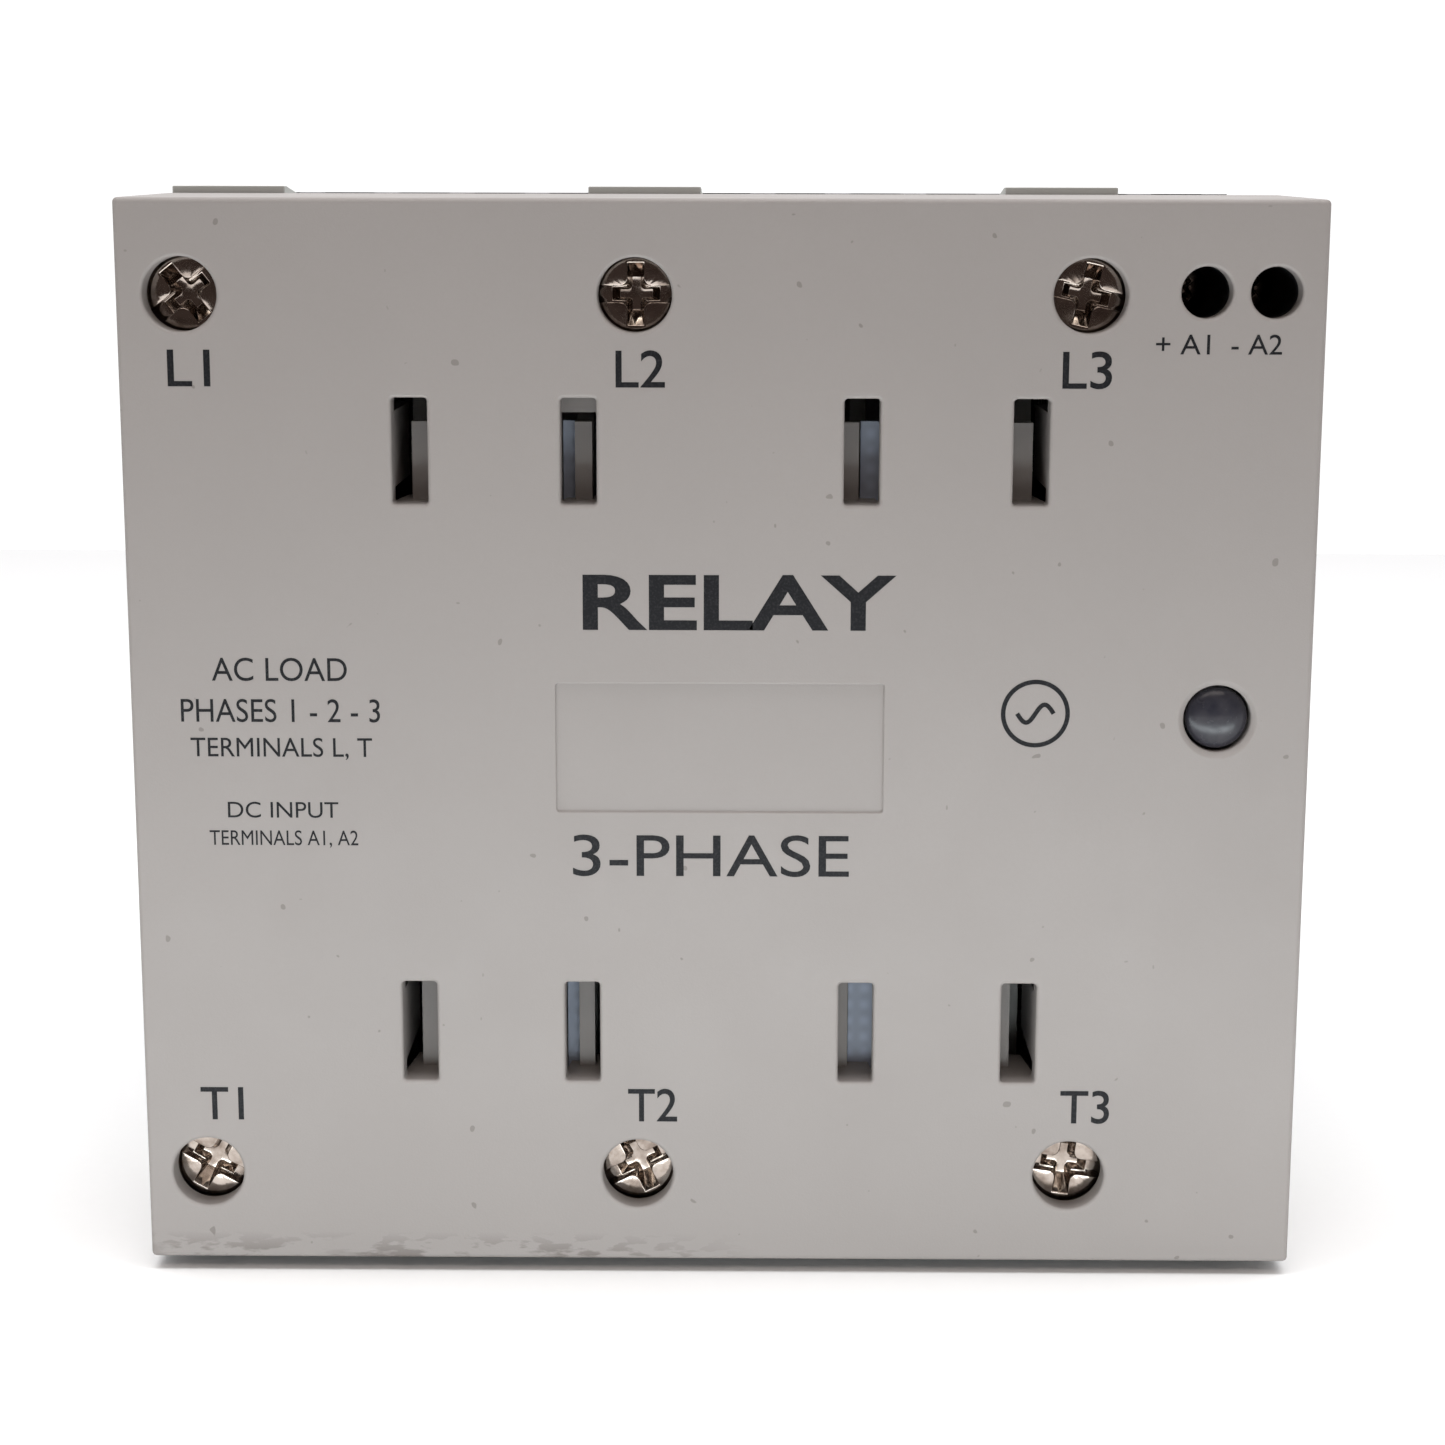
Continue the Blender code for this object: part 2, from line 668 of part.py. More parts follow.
def make_control_board(finishes):
    """Make the board with its indicator and drivers, and the light pipe that reaches the face."""
    bm = bmesh.new()
    block(bm, BOARD_X, BOARD, BOARD_Z)
    place("control_board", bm, finishes["board_green"])

    part_back = BOARD[0] - GAP
    driver_x = sum(BOARD_X) / 2
    for number, z in enumerate(DRIVER_Z, start=1):
        widest = part_back - DRIVER_HEIGHT / 2
        top = part_back - DRIVER_HEIGHT
        body = (
            (driver_x - DRIVER_HALF_WIDTH + 0.2, part_back),
            (driver_x - DRIVER_HALF_WIDTH, widest),
            (driver_x - DRIVER_HALF_WIDTH + 0.4, top),
            (driver_x + DRIVER_HALF_WIDTH - 0.4, top),
            (driver_x + DRIVER_HALF_WIDTH, widest),
            (driver_x + DRIVER_HALF_WIDTH - 0.2, part_back),
        )
        bm = bmesh.new()
        prism(bm, body, about(z, DRIVER_HALF_LENGTH), "z")
        place(f"opto_driver_{number}", bm, finishes["moulded_black"])

    pipe_back = part_back - LED_LENGTH
    led = ((pipe_back + GAP, 1.0), (pipe_back + 0.7, 1.5), (part_back - 0.8, 1.6), (part_back, 1.6))
    bm = bmesh.new()
    turned(bm, LENS_X, LENS_Z, led, SMALL_SIDES)
    place("status_led", bm, finishes["indicator_die"])

    dome = [(LENS_SUNK, 0.5)]
    for step in range(1, 5):
        swing = math.pi / 2 * step / 4
        dome.append((LENS_SUNK + LENS_SAG * (1 - math.cos(swing)), LENS_RADIUS * math.sin(swing)))
    flange = (FACE_WALL + GAP, FACE_WALL + GAP + 1.0)
    dome += [(flange[0], LENS_RADIUS), (flange[0], PIPE_FLANGE_RADIUS), (flange[1], PIPE_FLANGE_RADIUS)]
    dome += [(flange[1], 2.0), (pipe_back, 1.8)]
    bm = bmesh.new()
    turned(bm, LENS_X, LENS_Z, dome)
    place("light_pipe", bm, finishes["smoked_lens"])


def make_fixing_screw(name, x, z, head_front, tip, finish, outward=1):
    """Make a round headed fixing screw, driven from the front, or from the back where outward is -1."""
    crown = head_front + outward * 0.8
    seat = head_front + outward * FIXING_HEAD
    profile = (
        (head_front, FIXING_HEAD_RADIUS * 0.6),
        (crown, FIXING_HEAD_RADIUS),
        (seat, FIXING_HEAD_RADIUS),
        (seat, FIXING_SHANK_RADIUS),
        (tip, FIXING_SHANK_RADIUS),
    )
    bm = bmesh.new()
    turned(bm, x, z, profile, SMALL_SIDES + 4)
    place(name, bm, finish, (x, head_front, z))


def make_power_stage(finishes):
    """Make the three power modules with their thermal pads and screws, and the screws of the housing."""
    outline = (
        (MODULE_FRONT, -MODULE_HALF_HEIGHT),
        (MODULE_FRONT, MODULE_HALF_HEIGHT),
        (FLANGE_FRONT, MODULE_HALF_HEIGHT),
        (FLANGE_FRONT, FLANGE_HALF_HEIGHT),
        (MODULE_BACK, FLANGE_HALF_HEIGHT),
        (MODULE_BACK, -FLANGE_HALF_HEIGHT),
        (FLANGE_FRONT, -FLANGE_HALF_HEIGHT),
        (FLANGE_FRONT, -MODULE_HALF_HEIGHT),
    )
    steel = finishes["nickelled_steel"]
    screw_count = 0
    for number, x_span in enumerate(MODULE_X, start=1):
        bm = bmesh.new()
        prism(bm, outline, x_span, "x")
        module = place(f"power_module_{number}", bm, finishes["moulded_black"])
        middle = sum(x_span) / 2
        through = (FLANGE_FRONT - 1.0, MODULE_BACK + 1.0)
        bm = bmesh.new()
        for side in (-1, 1):
            bore(bm, middle, side * MODULE_SCREW_Z, FIXING_HOLE_RADIUS, through)
        cut(module, "holes", bm)
        bm = bmesh.new()
        block(bm, x_span, PAD, about(0.0, MODULE_HALF_HEIGHT - 0.5))
        place(f"thermal_pad_{number}", bm, finishes["thermal_pad"])
        for side in (-1, 1):
            screw_count += 1
            head_front = FLANGE_FRONT - GAP - FIXING_HEAD
            name = f"module_screw_{screw_count}"
            make_fixing_screw(name, middle, side * MODULE_SCREW_Z, head_front, FIXING_TIP, steel)
    for number, (x, side) in enumerate(((x, side) for x in BOSS_X for side in (-1, 1)), start=1):
        head_front = BOSS_FRONT - GAP - FIXING_HEAD
        make_fixing_screw(f"housing_screw_{number}", x, side * BOSS_Z, head_front, FIXING_TIP, steel)


def make_heat_sink(finish):
    """Make the extrusion: a base, a row of tapered fins and a web that closes the middle channels."""
    bm = bmesh.new()
    block(bm, about(0.0, SINK_HALF_WIDTH), (SINK_FRONT, SINK_BACK), about(0.0, SINK_HALF_HEIGHT))
    sink = place("heat_sink", bm, finish)

    pitch = (2 * SINK_HALF_WIDTH - FIN_ROOT) / (FIN_COUNT - 1)
    first = -SINK_HALF_WIDTH + FIN_ROOT / 2
    taper = (FIN_ROOT - FIN_TIP) / 2 / (SINK_BACK - SINK_BASE_BACK)
    bm = bmesh.new()
    for channel in range(FIN_COUNT - 1):
        left = first + channel * pitch + FIN_ROOT / 2
        right = first + (channel + 1) * pitch - FIN_ROOT / 2
        closed = WEB_FINS[0] <= channel < WEB_FINS[1]
        back = WEB_FRONT if closed else SINK_BACK + 1.0
        widen = taper * (back - SINK_BASE_BACK)
        outline = (
            (left, SINK_BASE_BACK),
            (right, SINK_BASE_BACK),
            (right + widen, back),
            (left - widen, back),
        )
        prism(bm, outline, about(0.0, SINK_HALF_HEIGHT + 1.0), "z")
    cut(sink, "channels", bm)

    bm = bmesh.new()
    blind = (SINK_FRONT - 1.0, TAPPED_HOLE_END)
    for x_span in MODULE_X:
        for side in (-1, 1):
            bore(bm, sum(x_span) / 2, side * MODULE_SCREW_Z, FIXING_HOLE_RADIUS, blind)
    for x in BOSS_X:
        for side in (-1, 1):
            bore(bm, x, side * BOSS_Z, FIXING_HOLE_RADIUS, blind)
    for x, z in FOOT_SCREWS:
        bore(bm, x, z, FIXING_HOLE_RADIUS, (WEB_FRONT - 1.0, SINK_BACK + 1.0))
    cut(sink, "tapped_holes", bm)


def make_rail_foot(finishes):
    """Make the foot with its seat pad, fixed hook and latch guides, and the four screws that hold it."""
    width = about(0.0, FOOT_HALF_WIDTH)
    seat_and_hook = (
        (FOOT[0], FOOT_Z[0]),
        (FOOT[1], FOOT_Z[0]),
        (FOOT[1], -SEAT_HALF_HEIGHT),
        (SEAT_DEPTH, -SEAT_HALF_HEIGHT),
        (SEAT_DEPTH, SEAT_HALF_HEIGHT),
        (FOOT[1], SEAT_HALF_HEIGHT),
        (FOOT[1], RAIL_EDGE),
        (HOOK_LIP[0], RAIL_EDGE),
        (HOOK_LIP[0], HOOK_OVERHANG_Z),
        (HOOK_LIP[1] - 0.6, HOOK_OVERHANG_Z),
        (HOOK_LIP[1], HOOK_OVERHANG_Z + 0.8),
        (HOOK_LIP[1], HOOK_TOP),
        (FOOT[1], HOOK_TOP),
        (FOOT[1], FOOT_Z[1]),
        (FOOT[0], FOOT_Z[1]),
    )
    bm = bmesh.new()
    prism(bm, seat_and_hook, width, "x")
    foot = place("rail_foot", bm, finishes["moulded_black"])

    bm = bmesh.new()
    guide_front = LATCH[1] + 0.4
    guide_back = guide_front + GUIDE_LIP_THICKNESS
    for side in (-1, 1):
        outline = (
            (side * GUIDE_X[0], FOOT[1] - 0.5),
            (side * GUIDE_X[1], FOOT[1] - 0.5),
            (side * GUIDE_X[1], guide_back),
            (side * GUIDE_LIP_X[0], guide_back),
            (side * GUIDE_LIP_X[0], guide_front),
            (side * GUIDE_X[0], guide_front),
        )
        prism(bm, outline, GUIDE_Z, "z")
    stop_z = (SPRING_Z[0] - GAP - STOP_HEIGHT, SPRING_Z[0] - GAP)
    block(bm, about(0.0, LATCH_WINDOW_HALF - 0.6), (FOOT[1] - 0.5, guide_back), stop_z)
    join(foot, "guides", bm)

    bm = bmesh.new()
    for x, z in FOOT_SCREWS:
        bore(bm, x, z, FIXING_HOLE_RADIUS, spread(FOOT, 1.0))
    cut(foot, "screw_holes", bm)

    for number, (x, z) in enumerate(FOOT_SCREWS, start=1):
        head_back = FOOT[1] + GAP + FIXING_HEAD
        make_fixing_screw(f"foot_screw_{number}", x, z, head_back, WEB_FRONT, finishes["nickelled_steel"], -1)


def make_latch(finishes):
    """Make the sliding latch that grips the lower rail edge, and the spring that pushes it up."""
    bm = bmesh.new()
    block(bm, about(0.0, LATCH_HALF_WIDTH), LATCH, (LATCH_Z[0], LATCH_POST_Z[1]))
    latch = place("rail_latch", bm, finishes["spring_steel"], (0.0, LATCH[0], LATCH_Z[1]))

    bm = bmesh.new()
    hook = (
        (LATCH[1] - 0.5, LATCH_POST_Z[0]),
        (HOOK_LIP[1], LATCH_POST_Z[0]),
        (HOOK_LIP[1], LATCH_Z[1] - 1.4),
        (HOOK_LIP[1] - 0.9, LATCH_Z[1]),
        (HOOK_LIP[0], LATCH_Z[1]),
        (HOOK_LIP[0], LATCH_POST_Z[1]),
        (LATCH[1] - 0.5, LATCH_POST_Z[1]),
    )
    prism(bm, hook, about(0.0, LATCH_HOOK_HALF_WIDTH), "x")
    join(latch, "hook", bm)

    bm = bmesh.new()
    through = spread(LATCH, 1.0)
    block(bm, about(0.0, LATCH_WINDOW_HALF), through, LATCH_WINDOW_Z)
    block(bm, about(0.0, LATCH_WINDOW_HALF), through, LATCH_EYE_Z)
    cut(latch, "windows", bm)


def make_latch_spring(finish):
    """Wind the compression spring that stands in the latch window, with a closed turn at each end."""
    length = SPRING_Z[1] - SPRING_Z[0] - SPRING_WIRE
    steps = SPRING_TURNS * SPRING_STEPS
    curve = bpy.data.curves.new("latch_spring", "CURVE")
    curve.dimensions = "3D"
    curve.bevel_depth = SPRING_WIRE / 2 * MM
    curve.bevel_resolution = 1
    curve.use_fill_caps = True
    spline = curve.splines.new("POLY")
    spline.points.add(steps)
    closed = SPRING_WIRE * 1.35
    for step in range(steps + 1):
        turn = step / SPRING_STEPS
        if turn < 1.0:
            climb = closed * turn
        elif turn > SPRING_TURNS - 1.0:
            climb = length - closed * (SPRING_TURNS - turn)
        else:
            climb = closed + (length - 2 * closed) * (turn - 1.0) / (SPRING_TURNS - 2.0)
        angle = math.tau * turn
        x = SPRING_RADIUS * math.cos(angle) * MM
        y = (SPRING_DEPTH - SEAT_DEPTH + SPRING_RADIUS * math.sin(angle)) * MM
        z = (climb + SPRING_WIRE / 2) * MM
        spline.points[step].co = (x, y, z, 1.0)
    curve.materials.append(finish)
    spring = bpy.data.objects.new("latch_spring", curve)
    spring.location = (0.0, 0.0, SPRING_Z[0] * MM)
    bpy.context.scene.collection.objects.link(spring)


def build_relay():
    """Build every piece of the relay."""
    clear_scene()
    finishes = make_finishes()
    make_front_cover(finishes["moulded_grey"])
    make_rear_housing(finishes["moulded_grey"])
    make_carrier("upper_terminal_carrier", 1, finishes["moulded_black"])
    make_carrier("lower_terminal_carrier", -1, finishes["moulded_black"])
    make_load_terminals(finishes)
    make_control_block(finishes["moulded_black"])
    make_control_terminals(finishes)
    make_control_board(finishes)
    make_power_stage(finishes)
    make_heat_sink(finishes["extruded_aluminium"])
    make_rail_foot(finishes)
    make_latch(finishes)
    make_latch_spring(finishes["spring_steel"])


build_relay()
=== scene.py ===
"""Looks of a three-phase solid state relay that clips on a rail.

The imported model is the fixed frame. Shapes are described by X, by the depth behind the front face and by Z, in
millimetres from the middle of the face, and become metres in the frame when a piece is made.
"""

import logging
import math
from dataclasses import dataclass, field
from enum import Enum
from typing import Iterable, Sequence

import bmesh
import bpy
from mathutils import Matrix, Vector


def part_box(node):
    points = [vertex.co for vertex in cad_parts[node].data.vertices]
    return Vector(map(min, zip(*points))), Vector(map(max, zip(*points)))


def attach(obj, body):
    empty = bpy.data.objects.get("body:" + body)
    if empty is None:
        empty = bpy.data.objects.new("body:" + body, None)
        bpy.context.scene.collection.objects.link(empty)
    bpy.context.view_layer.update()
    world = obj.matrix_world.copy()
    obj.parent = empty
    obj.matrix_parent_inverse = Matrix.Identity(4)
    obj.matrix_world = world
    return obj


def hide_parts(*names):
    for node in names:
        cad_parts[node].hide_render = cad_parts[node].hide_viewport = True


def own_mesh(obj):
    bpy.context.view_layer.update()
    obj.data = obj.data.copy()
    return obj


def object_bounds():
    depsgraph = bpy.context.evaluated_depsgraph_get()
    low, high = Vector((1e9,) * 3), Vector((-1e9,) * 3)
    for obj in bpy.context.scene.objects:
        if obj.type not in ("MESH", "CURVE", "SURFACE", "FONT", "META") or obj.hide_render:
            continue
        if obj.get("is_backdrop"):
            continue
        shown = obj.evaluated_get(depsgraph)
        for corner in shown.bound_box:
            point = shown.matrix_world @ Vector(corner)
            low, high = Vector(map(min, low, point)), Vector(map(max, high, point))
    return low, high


MM = 0.001
GAP = 0.3
LOG = logging.getLogger("relay")

Span = tuple[float, float]
Colour = tuple[float, float, float]


class Axis(Enum):
    """The direction that a shape is drawn along, or that a metal was worked in."""

    ACROSS = 0
    DEPTH = 1
    UP = 2


class Step(Enum):
    """What a form does to the piece that it is given to."""

    CUT = "DIFFERENCE"
    JOIN = "UNION"


# ---------------------------------------------------------------- finishes


class Recipe:
    """Short-hand for one material's node tree."""

    def __init__(self, name: str) -> None:
        """Start a material with a Principled shader.

        Args:
            name: the material's name.
        """
        self.material = bpy.data.materials.new(name)
        self.material.use_nodes = True
        self.tree = self.material.node_tree
        self.shader = self.tree.nodes["Principled BSDF"]
        self.coords = self.tree.nodes.new("ShaderNodeTexCoord").outputs["Object"]

    def set(self, **values: object) -> None:
        """Set plain values on the shader, with underscores for the spaces in a socket's name."""
        for key, value in values.items():
            self.shader.inputs[key.replace("_", " ")].default_value = value

    def node(self, kind: str, **settings: object) -> bpy.types.Node:
        """Add a node and set its properties."""
        made = self.tree.nodes.new(kind)
        for key, value in settings.items():
            setattr(made, key, value)
        return made

    def link(self, start: bpy.types.NodeSocket, end: bpy.types.NodeSocket) -> None:
        """Join two sockets."""
        self.tree.links.new(start, end)

    def place(self, scale: Sequence[float]) -> bpy.types.NodeSocket:
        """Scale the object's own coordinates.

        Args:
            scale: one factor for each of X, Y and Z.

        Returns:
            The scaled vector.
        """
        mapping = self.node("ShaderNodeMapping")
        mapping.inputs["Scale"].default_value = scale
        self.link(self.coords, mapping.inputs["Vector"])
        return mapping.outputs["Vector"]

    def noise(self, size_mm: float, detail: float = 3.0, stretch: Sequence[float] = (1, 1, 1)) -> bpy.types.NodeSocket:
        """Add noise whose lumps are about size_mm across.

        Args:
            size_mm: how large the lumps are.
            detail: how many finer layers lie on them.
            stretch: how much longer than size_mm they are along X, Y and Z.

        Returns:
            The noise's value, from 0 to 1.
        """
        made = self.node("ShaderNodeTexNoise")
        made.inputs["Scale"].default_value = 1.0
        made.inputs["Detail"].default_value = detail
        factor = 1.0 / (size_mm * MM)
        self.link(self.place([factor / s for s in stretch]), made.inputs["Vector"])
        return made.outputs["Fac"]

    def span(self, value: bpy.types.NodeSocket, low: float, high: float, to: Span = (0.0, 1.0)) -> bpy.types.NodeSocket:
        """Map the part of a value between low and high on to a new span, and hold it at the ends."""
        made = self.node("ShaderNodeMapRange")
        for socket, number in zip(("From Min", "From Max", "To Min", "To Max"), (low, high, *to)):
            made.inputs[socket].default_value = number
        self.link(value, made.inputs["Value"])
        return made.outputs["Result"]

    def maths(self, operation: str, first: object, second: object) -> bpy.types.NodeSocket:
        """Combine two values, each a socket or a number."""
        made = self.node("ShaderNodeMath", operation=operation)
        for socket, value in zip(made.inputs, (first, second)):
            if isinstance(value, bpy.types.NodeSocket):
                self.link(value, socket)
            else:
                socket.default_value = value
        return made.outputs["Value"]

    def blend(self, factor: bpy.types.NodeSocket, first: object, second: object) -> bpy.types.NodeSocket:
        """Mix two colours, each a socket or three numbers, by a factor."""
        made = self.node("ShaderNodeMix", data_type="RGBA")
        self.link(factor, made.inputs["Factor"])
        for socket, value in ((made.inputs[6], first), (made.inputs[7], second)):
            if isinstance(value, bpy.types.NodeSocket):
                self.link(value, socket)
            else:
                socket.default_value = (*value, 1.0)
        return made.outputs[2]

    def relief(self, heights: Iterable[tuple[bpy.types.NodeSocket, float]], strength: float = 1.0) -> None:
        """Stack height patterns into the shader's normal.

        Args:
            heights: pairs of a pattern and its depth in millimetres.
            strength: how much of the relief shows.
        """
        before = None
        for height, depth_mm in heights:
            bump = self.node("ShaderNodeBump")
            bump.inputs["Strength"].default_value = strength
            bump.inputs["Distance"].default_value = depth_mm * MM
            self.link(height, bump.inputs["Height"])
            if before is not None:
                self.link(before, bump.inputs["Normal"])
            before = bump.outputs["Normal"]
        self.link(before, self.shader.inputs["Normal"])

    def colour(self, socket: bpy.types.NodeSocket) -> None:
        """Send a colour to the shader."""
        self.link(socket, self.shader.inputs["Base Color"])

    def roughness(self, socket: bpy.types.NodeSocket) -> None:
        """Send a roughness to the shader."""
        self.link(socket, self.shader.inputs["Roughness"])

    def height_of(self, axis: Axis) -> bpy.types.NodeSocket:
        """Give one of the object's own coordinates, in metres."""
        made = self.node("ShaderNodeSeparateXYZ")
        self.link(self.coords, made.inputs["Vector"])
        return made.outputs[axis.value]


@dataclass(frozen=True)
class Finish:
    """A finish that a piece can be given: its name, and the record's slot that it stands for."""

    name: str
    slot: str

    def build(self) -> bpy.types.Material:
        """Make the finish's material."""
        raise NotImplementedError


@dataclass(frozen=True)
class MouldedPlastic(Finish):
    """Moulded plastic with a spark-eroded grain, faint flow shading and, where it was handled, rubbed dirt."""

    colour: Colour = (0.5, 0.5, 0.5)
    shade: float = 0.04
    gloss: float = 0.5
    grain_mm: float = 0.16
    grain_depth_mm: float = 0.012
    flow_mm: float = 28.0
    dirt: Colour | None = None
    dirt_below: float = -0.0478
    dirt_fade: float = 0.0028

    def build(self) -> bpy.types.Material:
        """Make the material: tint, flow shading, grain and the dirt along the lower edge."""
        recipe = Recipe(self.name)
        light = tuple(min(1.0, c * (1 + self.shade)) for c in self.colour)
        dark = tuple(c * (1 - self.shade) for c in self.colour)
        flow = recipe.span(recipe.noise(self.flow_mm, 2.0), 0.3, 0.7)
        colour = recipe.blend(flow, dark, light)
        speck = recipe.span(recipe.noise(self.grain_mm * 2.2, 2.0), 0.25, 0.75)
        colour = recipe.blend(recipe.maths("MULTIPLY", speck, 0.5), colour, dark)
        if self.dirt is not None:
            colour = recipe.blend(self.smudges(recipe), colour, self.dirt)
            colour = recipe.blend(self.flecks(recipe), colour, self.dirt)
        recipe.colour(colour)
        wear = recipe.noise(9.0, 4.0)
        recipe.roughness(recipe.span(wear, 0.3, 0.7, (self.gloss - 0.06, self.gloss + 0.06)))
        grain = recipe.noise(self.grain_mm, 2.0)
        ripple = recipe.noise(6.0, 1.0)
        recipe.relief([(ripple, 0.02), (grain, self.grain_depth_mm)])
        recipe.set(Specular_IOR_Level=0.42)
        return recipe.material

    def smudges(self, recipe: Recipe) -> bpy.types.NodeSocket:
        """Give the mask of the dirt that is rubbed along the lower edge, on the left more than on the right."""
        low = recipe.span(recipe.height_of(Axis.UP), self.dirt_below, self.dirt_below - self.dirt_fade)
        side = recipe.span(recipe.height_of(Axis.ACROSS), 0.004, -0.012)
        patch = recipe.span(recipe.noise(1.1, 4.0, (2.4, 1.0, 0.8)), 0.50, 0.64)
        streak = recipe.span(recipe.noise(8.0, 2.0, (2.0, 1.0, 1.0)), 0.40, 0.56)
        mask = recipe.maths("MINIMUM", recipe.maths("MULTIPLY", low, side), recipe.maths("MULTIPLY", patch, streak))
        return recipe.maths("MULTIPLY", mask, 0.7)

    def flecks(self, recipe: Recipe) -> bpy.types.NodeSocket:
        """Give the mask of a few tiny dark specks anywhere on the moulding."""
        speck = recipe.span(recipe.noise(1.1, 0.0), 0.875, 0.895)
        return recipe.maths("MULTIPLY", speck, 0.45)


@dataclass(frozen=True)
class WorkedMetal(Finish):
    """Metal with lines from how it was worked, and tarnish that gathers in patches."""

    colour: Colour = (0.6, 0.6, 0.6)
    tarnish: Colour = (0.3, 0.3, 0.3)
    tarnish_share: float = 0.4
    gloss: Span = (0.2, 0.4)
    lines: Axis | None = None
    line_mm: float = 0.12
    line_depth_mm: float = 0.004
    patch_mm: float = 2.0

    def build(self) -> bpy.types.Material:
        """Make the material: patches of tarnish, working lines and uneven gloss."""
        recipe = Recipe(self.name)
        recipe.set(Metallic=1.0)
        patch = recipe.span(recipe.noise(self.patch_mm, 5.0), 0.42, 0.68)
        recipe.colour(recipe.blend(recipe.maths("MULTIPLY", patch, self.tarnish_share), self.colour, self.tarnish))
        stretch = [1.0, 1.0, 1.0]
        if self.lines is not None:
            stretch[self.lines.value] = 60.0
        drawn = recipe.noise(self.line_mm, 3.0, stretch)
        uneven = recipe.maths("ADD", recipe.maths("MULTIPLY", drawn, 0.6), recipe.maths("MULTIPLY", patch, 0.4))
        recipe.roughness(recipe.span(uneven, 0.25, 0.75, self.gloss))
        recipe.relief([(recipe.noise(self.patch_mm * 3, 2.0), 0.01), (drawn, self.line_depth_mm)])
        return recipe.material


@dataclass(frozen=True)
class SmokedPlastic(Finish):
    """Dark, clear plastic with a polished skin, with a painted sheen that turns its colour paler where it is seen
    edge-on.
    """

    colour: Colour = (0.018, 0.018, 0.026)
    # painted sheen: the paler colour shown where the lens is seen edge-on
    rim: Colour = (0.075, 0.070, 0.075)

    def build(self) -> bpy.types.Material:
        """Make the material: a clear coat over a dark body, with a painted sheen that turns the colour paler where the
        surface is seen edge-on, and paler clouds at random.
        """
        recipe = Recipe(self.name)
        # painted sheen: the Layer Weight node gives more of the paler colour where the surface turns away from the
        # camera
        painted_sheen = recipe.node("ShaderNodeLayerWeight")
        painted_sheen.inputs["Blend"].default_value = 0.35
        cloud = recipe.span(recipe.noise(1.4, 3.0), 0.3, 0.7, (0.0, 0.35))
        # the larger of the painted sheen and the random paler clouds sets how much paler colour shows
        edge = recipe.maths("MAXIMUM", painted_sheen.outputs["Facing"], cloud)
        recipe.colour(recipe.blend(edge, self.colour, self.rim))
        recipe.roughness(recipe.span(recipe.noise(0.8, 4.0), 0.3, 0.7, (0.16, 0.30)))
        recipe.relief([(recipe.noise(1.8, 2.0), 0.01)])
        recipe.set(Coat_Weight=0.12, Coat_Roughness=0.12, Specular_IOR_Level=0.3)
        return recipe.material


@dataclass(frozen=True)
class CircuitBoard(Finish):
    """Green laminate with copper tracks under its mask."""

    mask: Colour = (0.012, 0.085, 0.035)
    track: Colour = (0.03, 0.17, 0.07)
    pitch_mm: float = 2.54

    def build(self) -> bpy.types.Material:
        """Make the material: a brick pattern of tracks under a glossy mask."""
        recipe = Recipe(self.name)
        bricks = recipe.node("ShaderNodeTexBrick")
        bricks.inputs["Scale"].default_value = 1.0
        bricks.inputs["Mortar Size"].default_value = 0.12
        bricks.inputs["Mortar Smooth"].default_value = 0.1
        bricks.inputs["Brick Width"].default_value = 2.0
        bricks.inputs["Row Height"].default_value = 0.5
        turn = recipe.node("ShaderNodeMapping")
        factor = 1.0 / (self.pitch_mm * MM)
        turn.inputs["Scale"].default_value = (factor, factor, factor)
        turn.inputs["Rotation"].default_value = (math.pi / 2, 0.0, 0.0)
        recipe.link(recipe.coords, turn.inputs["Vector"])
        recipe.link(turn.outputs["Vector"], bricks.inputs["Vector"])
        tracks = bricks.outputs["Fac"]
        recipe.colour(recipe.blend(tracks, self.mask, self.track))
        recipe.roughness(recipe.span(recipe.noise(3.0, 3.0), 0.3, 0.7, (0.28, 0.42)))
        recipe.relief([(tracks, 0.035), (recipe.noise(0.3, 2.0), 0.004)])
        return recipe.material


@dataclass(frozen=True)
class PrintedInk(Finish):
    """Pad-printed ink, a little uneven where the grain shows through."""

    colour: Colour = (0.006, 0.006, 0.008)
    worn: Colour = (0.020, 0.020, 0.022)

    def build(self) -> bpy.types.Material:
        """Make the material: dark ink with paler pinholes."""
        recipe = Recipe(self.name)
        thin = recipe.span(recipe.noise(0.22, 3.0), 0.48, 0.72)
        recipe.colour(recipe.blend(thin, self.colour, self.worn))
        recipe.roughness(recipe.span(recipe.noise(0.5, 2.0), 0.3, 0.7, (0.42, 0.6)))
        recipe.relief([(recipe.noise(0.16, 2.0), 0.008)])
        recipe.set(Specular_IOR_Level=0.2)
        return recipe.material


@dataclass(frozen=True)
class SoftPad(Finish):
    """Filled silicone sheet with a woven carrier."""

    colour: Colour = (0.36, 0.38, 0.41)

    def build(self) -> bpy.types.Material:
        """Make the material: a fine weave under a matt skin."""
        recipe = Recipe(self.name)
        waves = []
        for stretch in ((1.0, 1.0, 0.0), (0.0, 1.0, 1.0)):
            wave = recipe.node("ShaderNodeTexWave", bands_direction="DIAGONAL")
            wave.inputs["Scale"].default_value = 1.0
            factor = 1.0 / (2.6 * MM)
            recipe.link(recipe.place([factor * s for s in stretch]), wave.inputs["Vector"])
            waves.append(wave.outputs["Fac"])
        weave = recipe.maths("MULTIPLY", waves[0], waves[1])
        recipe.colour(recipe.blend(weave, tuple(c * 0.8 for c in self.colour), self.colour))
        recipe.roughness(recipe.span(recipe.noise(2.0, 2.0), 0.3, 0.7, (0.72, 0.86)))
        recipe.relief([(weave, 0.03)])
        return recipe.material


